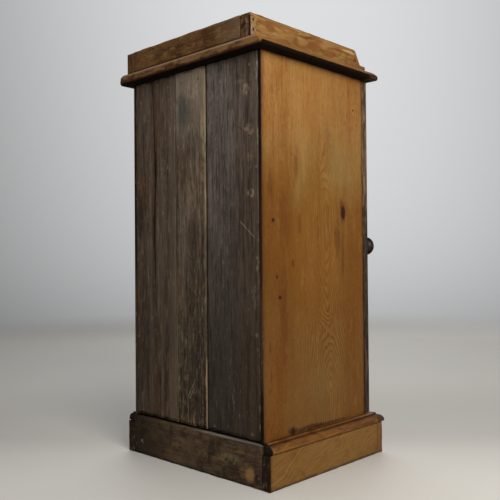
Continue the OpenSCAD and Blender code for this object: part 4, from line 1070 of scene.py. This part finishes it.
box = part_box("gallery_back")
wood = timber("pine_gallery_back", box, 0, (0.18, 0.73), 0.0048, ("#7d5a36", "#654422", "#35200f"),
              111, [(0.79, 0.06, 0.004, 0.007)], sway=0.03, wobble=0.02, tilt=0.02,
              swirl=(0.02, 20, 8), figure=0.35, streaks=0.4, fine=0.4, gloss=0.75)
x, z, ragged = wood.x, wood.z, wood.ragged
layers(wood, ("#3a200c", patch(wood, (22, 60, 50), 0.48, 0.62, 1) * 0.65),
       ("#93734c", patch(wood, (34, 60, 70), 0.52, 0.66, 2) * 0.5),
       ("#24140a", patch(wood, (120, 120), 0.58, 0.68, 3) * 0.6),
       ("#8d6c48", rise(z + ragged.by(0.01), 0.806, 0.812) * 0.4),
       ("#37210f", fall(z + ragged.by(0.004), 0.7722, 0.777) * 0.6),
       ("#55402c", rise(x, 0.128, 0.15) * 0.5),
       ("#6d5a48", fall(x, -0.14, -0.07) * rise(wood.cloud, 0.4, 0.6) * 0.5),
       ("#7c5225", rise(x, 0, 0.12) * rise(wood.patchy, 0.4, 0.6) * 0.35))
board("gallery_back_rubbed", "gallery_back", 0, 0.002, 0.005, polish(wood, 0.0008, 0.7),
      "pine_waxed", rubbed(box, 0.0007, 0.004, 12))


# -------------------------------------------------------- Nails and screws
# Cut nails with flat rusty heads, flush with the wood, and slotted iron screws: bare iron that
# has gone brown, rougher where it has rusted.


def metal(name, base, dark, rust, gloss, metallic):
    """Old metal: tarnish in clouds, rust or dirt in specks, and a fine pitted bump."""
    material, here, _ = fresh(name)
    cloud = noise(here, (70, 70), 4, 0.6, 1)
    speck = noise(here, (900, 900), 3, 0.6, 2)
    spoiled = rise(speck, 0.52, 0.68)
    colour = turn_to(turn_to(base, dark, rise(cloud, 0.35, 0.65)), rust, spoiled * 0.7)
    shader = material.node_tree.nodes["Principled BSDF"]
    bare = metallic - spoiled * 0.6 * metallic
    material.node_tree.links.new(bare.socket, shader.inputs["Metallic"])
    return polish(SimpleNamespace(material=material, here=here, colour=colour, height=speck,
                                  rough=gloss + spoiled * 0.3 + cloud.by(0.2)), 0.0002, 0.4, 0.5)


def refinish(material, *nodes):
    """Gives the CAD nodes themselves the material."""
    for node in nodes:
        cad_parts[node].data.materials.clear()
        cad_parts[node].data.materials.append(material)


refinish(metal("iron_stained", "#9c7646", "#7c5630", "#5c3a1c", 0.8, 0.05), "gallery_nails")
iron = metal("iron_rusted", "#544a42", "#342c26", "#5a3520", 0.6, 0.5)
dusty = metal("iron_dusty", "#6a5f54", "#4f453c", "#4a3426", 0.85, 0.1)
refinish(dusty, "plank_nails", "top_nails")
refinish(iron, "plinth_nails", "cleat_screws")


# ------------------------------------------------------------------- Hinges
# Two brass butt hinges let in at the right-hand corner, three knuckles each on an iron pin,
# with brass screws. The brass has gone brown, brighter where it rubs.
brass = metal("brass_aged", "#9d8145", "#5d4a25", "#3a2c18", 0.34, 0.95)
for level in ("upper", "lower"):
    eased(f"hinge_{level}_frame_leaf", "carcass", "brass_aged", brass, 0.0002)
    eased(f"hinge_{level}_door_leaf", "door", "brass_aged", brass, 0.0002)
    refinish(iron, f"hinge_{level}_pin")
refinish(brass, "hinge_frame_screws", "hinge_door_screws")


# --------------------------------------------------------------------- Door
# A pine frame, tenoned and pegged, round one fielded panel that floats in its grooves behind
# planted beads. Stained and waxed like the sides, and rubbed at its outer arrises.
DOOR = ("#ac7840", "#98632e", "#613614")


def door_part(node, grain, heart, seed, knots=(), width=0.0012):
    """A part of the door, dark along its arrises and inside; the knob's stile is darkened by
    hands round the knob and greyed and scuffed along its outer edge, which below the middle is
    painted nearly black as the shadow in the gap at the door's edge."""
    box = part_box(node)
    wood = timber("pine_" + node, box, grain, heart, 0.0045, DOOR, seed, knots, sway=0.025,
                  wobble=0.007, tilt=0.02, figure=0.42, streaks=0.42, fine=0.2, gloss=0.45)
    layers(wood, ("#43220e", arris(wood, box, 0.003) * 0.6))
    if node == "door_stile_knob":
        outer = fall(wood.x, box[0].x + 0.002, box[0].x + 0.005)
        scuffed = noise(wood.here, (140, 26), 6, 0.74, 6)
        # Below the middle the outer edge is painted nearly black: painted shadow in the gap at the
        # door's edge.
        low = fall(wood.z + wood.cloud.by(0.16), 0.4, 0.56)
        layers(wood, ("#3a1e0e", fall(abs(wood.z - 0.43) + wood.quick.by(0.05), 0.03, 0.12) * 0.4),
               (turn_to("#7d6145", "#38220f", rise(scuffed, 0.4, 0.58)), outer * 0.95),
               ("#1f1108", low * outer * (0.6 + rise(scuffed, 0.38, 0.55) * 0.35)))
    layers(wood, ("#2a160b", rise(wood.y, box[1].y - 0.002, box[1].y - 0.0005) * 0.3))
    eased(node, "door", "pine_waxed", polish(wood, specular=0.2), width)


door_part("door_stile_knob", 2, (-0.12, -0.09), 121, width=0.0018)
door_part("door_stile_hinge", 2, (0.12, -0.2), 122, [(0.16, 0.33, 0.004, 0.006)], 0.0016)
door_part("door_rail_top", 0, (-0.2, 0.67), 123)
door_part("door_rail_bottom", 0, (-0.2, 0.17), 124, [(0.11, -0.03, 0.004, 0.008)])
door_part("door_panel", 2, (0.02, -0.23), 125,
          [(0.03, 0.52, 0.006, 0.012), (-0.06, 0.24, 0.004, 0.006)], 0.0003)
wood = timber("pine_beads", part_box("panel_beads"), 2, (0.1, -0.2), 0.004, DOOR, 126, gloss=0.42)
layers(wood, ("#4a260f", rise(wood.cloud, 0.4, 0.6) * 0.5))
eased("panel_beads", "door", "pine_waxed", polish(wood, specular=0.3), 0.0003)
wood = timber("oak_pegs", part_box("door_pegs"), 1, (0.1, 0.4), 0.0015,
              ("#8a6136", "#74502a", "#3f260f"), 127, figure=0.7, gloss=0.5)
eased("door_pegs", "door", "pine_waxed", polish(wood), 0.0003)


# ------------------------------------------------------- Knob and turn button
# Knob and shank turned from one piece, stained nearly black and polished by hands. The turn
# button fits on the shank's square end, held by a washer and an iron screw.
knob_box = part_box("knob")
knob_x = (knob_box[0].x + knob_box[1].x) / 2
knob_z = (knob_box[0].z + knob_box[1].z) / 2
KNOB_R, KNOB_L = (knob_box[1].x - knob_box[0].x) / 2, door_y - knob_box[0].y
FOOT_R, WAIST_R, FOOT_L, WAIST_L, RIM = 0.011, 0.0075, 0.003, 0.010, 0.74
SHANK_R, SQUARE, SQUARE_FROM, TURN_GAP, TOOL_MARKS = 0.0045, 0.006, -0.0162, 0.0004, 0.0016


def knob_rings():
    """A turned shape: rings whose radius follows the profile from the dome to the shank. The
    last rings are square: their radius is half the square over the larger of |cos|, |sin|."""
    rim = KNOB_L * RIM
    swell = np.linspace(1, 0, 16)[:, None] * (np.pi / 2)
    dome = sweep_of(0, rim, KNOB_R, KNOB_L - rim, 89, 4, 22)
    head = np.column_stack([WAIST_R + (KNOB_R - WAIST_R) * (1 - np.cos(swell)),
                            WAIST_L + (rim - WAIST_L) * np.sin(swell)])
    foot = sweep_of(FOOT_R, WAIST_L, FOOT_R - WAIST_R, WAIST_L - FOOT_L, 180, 270, 9)[1:]
    end = door_y - knob_box[1].y
    rest = [(FOOT_R, FOOT_L - 0.0006), (FOOT_R, TURN_GAP + 0.0006), (FOOT_R - 0.0006, TURN_GAP),
            (SHANK_R + 0.0006, TURN_GAP), (SHANK_R, TURN_GAP - 0.0006),
            (SHANK_R, SQUARE_FROM / 2), (SHANK_R, SQUARE_FROM)]
    square = [(SQUARE / 2, SQUARE_FROM), (SQUARE / 2, SQUARE_FROM / 2 + end / 2), (SQUARE / 2, end)]
    profile = np.concatenate([dome, head, foot, rest, square])
    angle = np.linspace(0, 2 * np.pi, 72, endpoint=False)
    corner = 1 / np.maximum(np.abs(np.cos(angle)), np.abs(np.sin(angle)))
    is_square = (np.arange(len(profile)) >= len(profile) - len(square))[:, None]
    radius = profile[:, :1] * np.where(is_square, corner, 1.0)
    out = np.broadcast_to(door_y - profile[:, 1:], radius.shape)
    return np.stack([knob_x + radius * np.cos(angle), out, knob_z + radius * np.sin(angle)], -1)


wood = timber("wood_stained", knob_box, 1, (knob_x + 0.03, knob_z - 0.02), 0.0024,
              ("#271811", "#1b100b", "#0c0705"), 131, figure=0.6, streaks=0.5, gloss=0.5)
turned = (wood.y * (2 * math.pi / TOOL_MARKS)).sine()
wood.height = wood.height * 0.5 + turned * 0.12
off, up = wood.x - knob_x, wood.z - knob_z
rubbed_rim = rise(off * off + up * up, 0.00024, 0.00034)
layers(wood, ("#4a2e1c", rubbed_rim * rise(wood.cloud, 0.42, 0.6) * 0.45))
stained = polish(wood, 0.0002, 0.35, 0.3)
skin("knob_turned", knob_rings(), stained, "latch", "wood_stained_dark", "knob")
eased("turn_button", "latch", "wood_stained_dark", stained, 0.0006)
refinish(iron, "turn_button_screw")


# ------------------------------------------------------------------- Studio
# A pale round floor that runs up into a pale wall that glows with painted light and shade, one
# large soft lamp at the side the photograph is lit from, a weak one behind the camera, and even
# light from all round; the floor's paint adds painted light and shadow.
WALL_R, COVE_R, WALL_H, AROUND = 2.2, 0.16, 3.2, 96
CAMERA_AT = Vector((-0.9734, 1.0257, 0.3915))
LOOK_AZIMUTH, LOOK_UP, LOOK_ROLL = math.radians(223.78), math.radians(0.81), math.radians(-0.47)


def bowl():
    """The stage as rings round the upright axis: level floor, a quarter-circle cove, a wall."""
    floor_r = np.concatenate([[0.02], np.linspace(0.3, WALL_R - COVE_R, 8)])
    turn = np.radians(np.linspace(9, 90, 10))
    out = np.concatenate([floor_r, WALL_R - COVE_R + COVE_R * np.sin(turn), [WALL_R, WALL_R]])
    up = np.concatenate([np.zeros(len(floor_r)), COVE_R * (1 - np.cos(turn)), [0.8, WALL_H]])
    angle = np.linspace(0, 2 * np.pi, AROUND, endpoint=False)
    return np.stack([out[:, None] * np.cos(angle), out[:, None] * np.sin(angle),
                     np.broadcast_to(up[:, None], (len(up), AROUND))], -1)


rings = bowl()
mesh = bpy.data.meshes.new("stage")
mesh.from_pydata(rings.reshape(-1, 3), [], quads_of(rings) + [list(range(AROUND))])
mesh.polygons.foreach_set("use_smooth", np.ones(len(mesh.polygons), bool))
stage = bpy.data.objects.new("stage", mesh)
bpy.context.scene.collection.objects.link(stage)

forward = Vector((-math.sin(LOOK_AZIMUTH) * math.cos(LOOK_UP),
                  math.cos(LOOK_AZIMUTH) * math.cos(LOOK_UP), math.sin(LOOK_UP)))
level = forward.cross(Vector((0, 0, 1))).normalized()
upright = level.cross(forward).normalized()
right = level * math.cos(LOOK_ROLL) + upright * math.sin(LOOK_ROLL)
above = upright * math.cos(LOOK_ROLL) - level * math.sin(LOOK_ROLL)

# The wall glows by itself, seen by the camera and in reflections but lighting nothing; its glow
# is painted light and shade. The floor takes light and shadow like paper, and its paint adds
# painted light and shadow. Both are shaded along the camera's sideways and ahead.
material, here, (x, y, z) = fresh("stage_paper")
tree = material.node_tree
shader = tree.nodes["Principled BSDF"]
sideways = x * level.x + y * level.y
ahead = x * forward.x + y * forward.y
# Painted light and shade on the wall: darker at its foot and towards both sides, brighter to the
# right.
grey = 0.64 - 0.25 / (1.0 + (z * 2.6) ** 1.6) + z * 0.016
darkened = (sideways * sideways).least(1.7) * 0.23
glow = grey * (1.0 + sideways * (0.16 - z * 0.04)) * (1.18 - darkened) - 0.04
paint = here.node("ShaderNodeCombineColor", None, {0: glow * 0.993, 1: glow, 2: glow * 1.012})
wall = here.node("ShaderNodeEmission", None, {"Color": paint, "Strength": 1.0})
# Painted light and shadow on the floor: lighter to the right and near the camera, darker farther
# off, with a painted shadow band just beyond the cupboard's middle.
shaded = rise(ahead, -0.04, 0.14) * fall(ahead, 0.3, 0.85)
pale = 0.675 + sideways * 0.095 - ahead * 0.05 + fall(ahead, -0.22, 0.06) * 0.07 - shaded * 0.1
paint = here.node("ShaderNodeCombineColor", None, {0: pale, 1: pale * 0.96, 2: pale * 0.88})
tree.links.new(paint.socket, shader.inputs["Base Color"])
shader.inputs["Roughness"].default_value = 0.6
shader.inputs["Specular IOR Level"].default_value = 0.2
camera_ray, glossy_ray, through_ray = [
    Link(tree.nodes.new("ShaderNodeLightPath").outputs[kind])
    for kind in ("Is Camera Ray", "Is Glossy Ray", "Is Transmission Ray")]
clear = here.node("ShaderNodeBsdfTransparent")
screen = here.node("ShaderNodeMixShader", None,
                   {0: camera_ray.most(glossy_ray).most(through_ray), 1: clear, 2: wall})
both = here.node("ShaderNodeMixShader", None,
                 {0: rise(z, 0, COVE_R * 0.8), 1: Link(shader.outputs[0]), 2: screen})
tree.links.new(both.socket, tree.nodes["Material Output"].inputs["Surface"])
mesh.materials.append(material)


def lamp(name, at, target, size, watts, colour):
    """A square soft lamp that points at a target and isn't seen itself."""
    light = bpy.data.lights.new(name, "AREA")
    light.shape = "SQUARE"
    light.size = size
    light.energy = watts
    light.color = colour
    holder = bpy.data.objects.new(name, light)
    holder.location = at
    holder.rotation_mode = "QUATERNION"
    holder.rotation_quaternion = (Vector(target) - Vector(at)).to_track_quat("-Z", "Y")
    holder.visible_camera = False
    bpy.context.scene.collection.objects.link(holder)


lamp("key", (-1.3, 0.62, 1.15), (-0.1, 0.05, 0.6), 0.8, 19.5, (1.0, 0.98, 0.95))
lamp("front_fill", (1.5, -1.4, 1.6), (0.0, 0.0, 0.4), 2.4, 21.0, (0.98, 0.99, 1.0))

world = bpy.data.worlds.new("studio")
world.use_nodes = True
sky = world.node_tree.nodes["Background"]
sky.inputs["Color"].default_value = (0.97, 0.985, 1.0, 1)
sky.inputs["Strength"].default_value = 0.28
bpy.context.scene.world = world
bpy.context.scene.view_settings.view_transform = "Standard"

lens = bpy.data.cameras.new("camera")
lens.sensor_width = 36.0
lens.lens = 49.43
camera = bpy.data.objects.new("camera", lens)
turn = Matrix((right, above, -forward)).transposed().to_4x4()
camera.matrix_world = Matrix.Translation(CAMERA_AT) @ turn
bpy.context.scene.collection.objects.link(camera)
bpy.context.scene.camera = camera
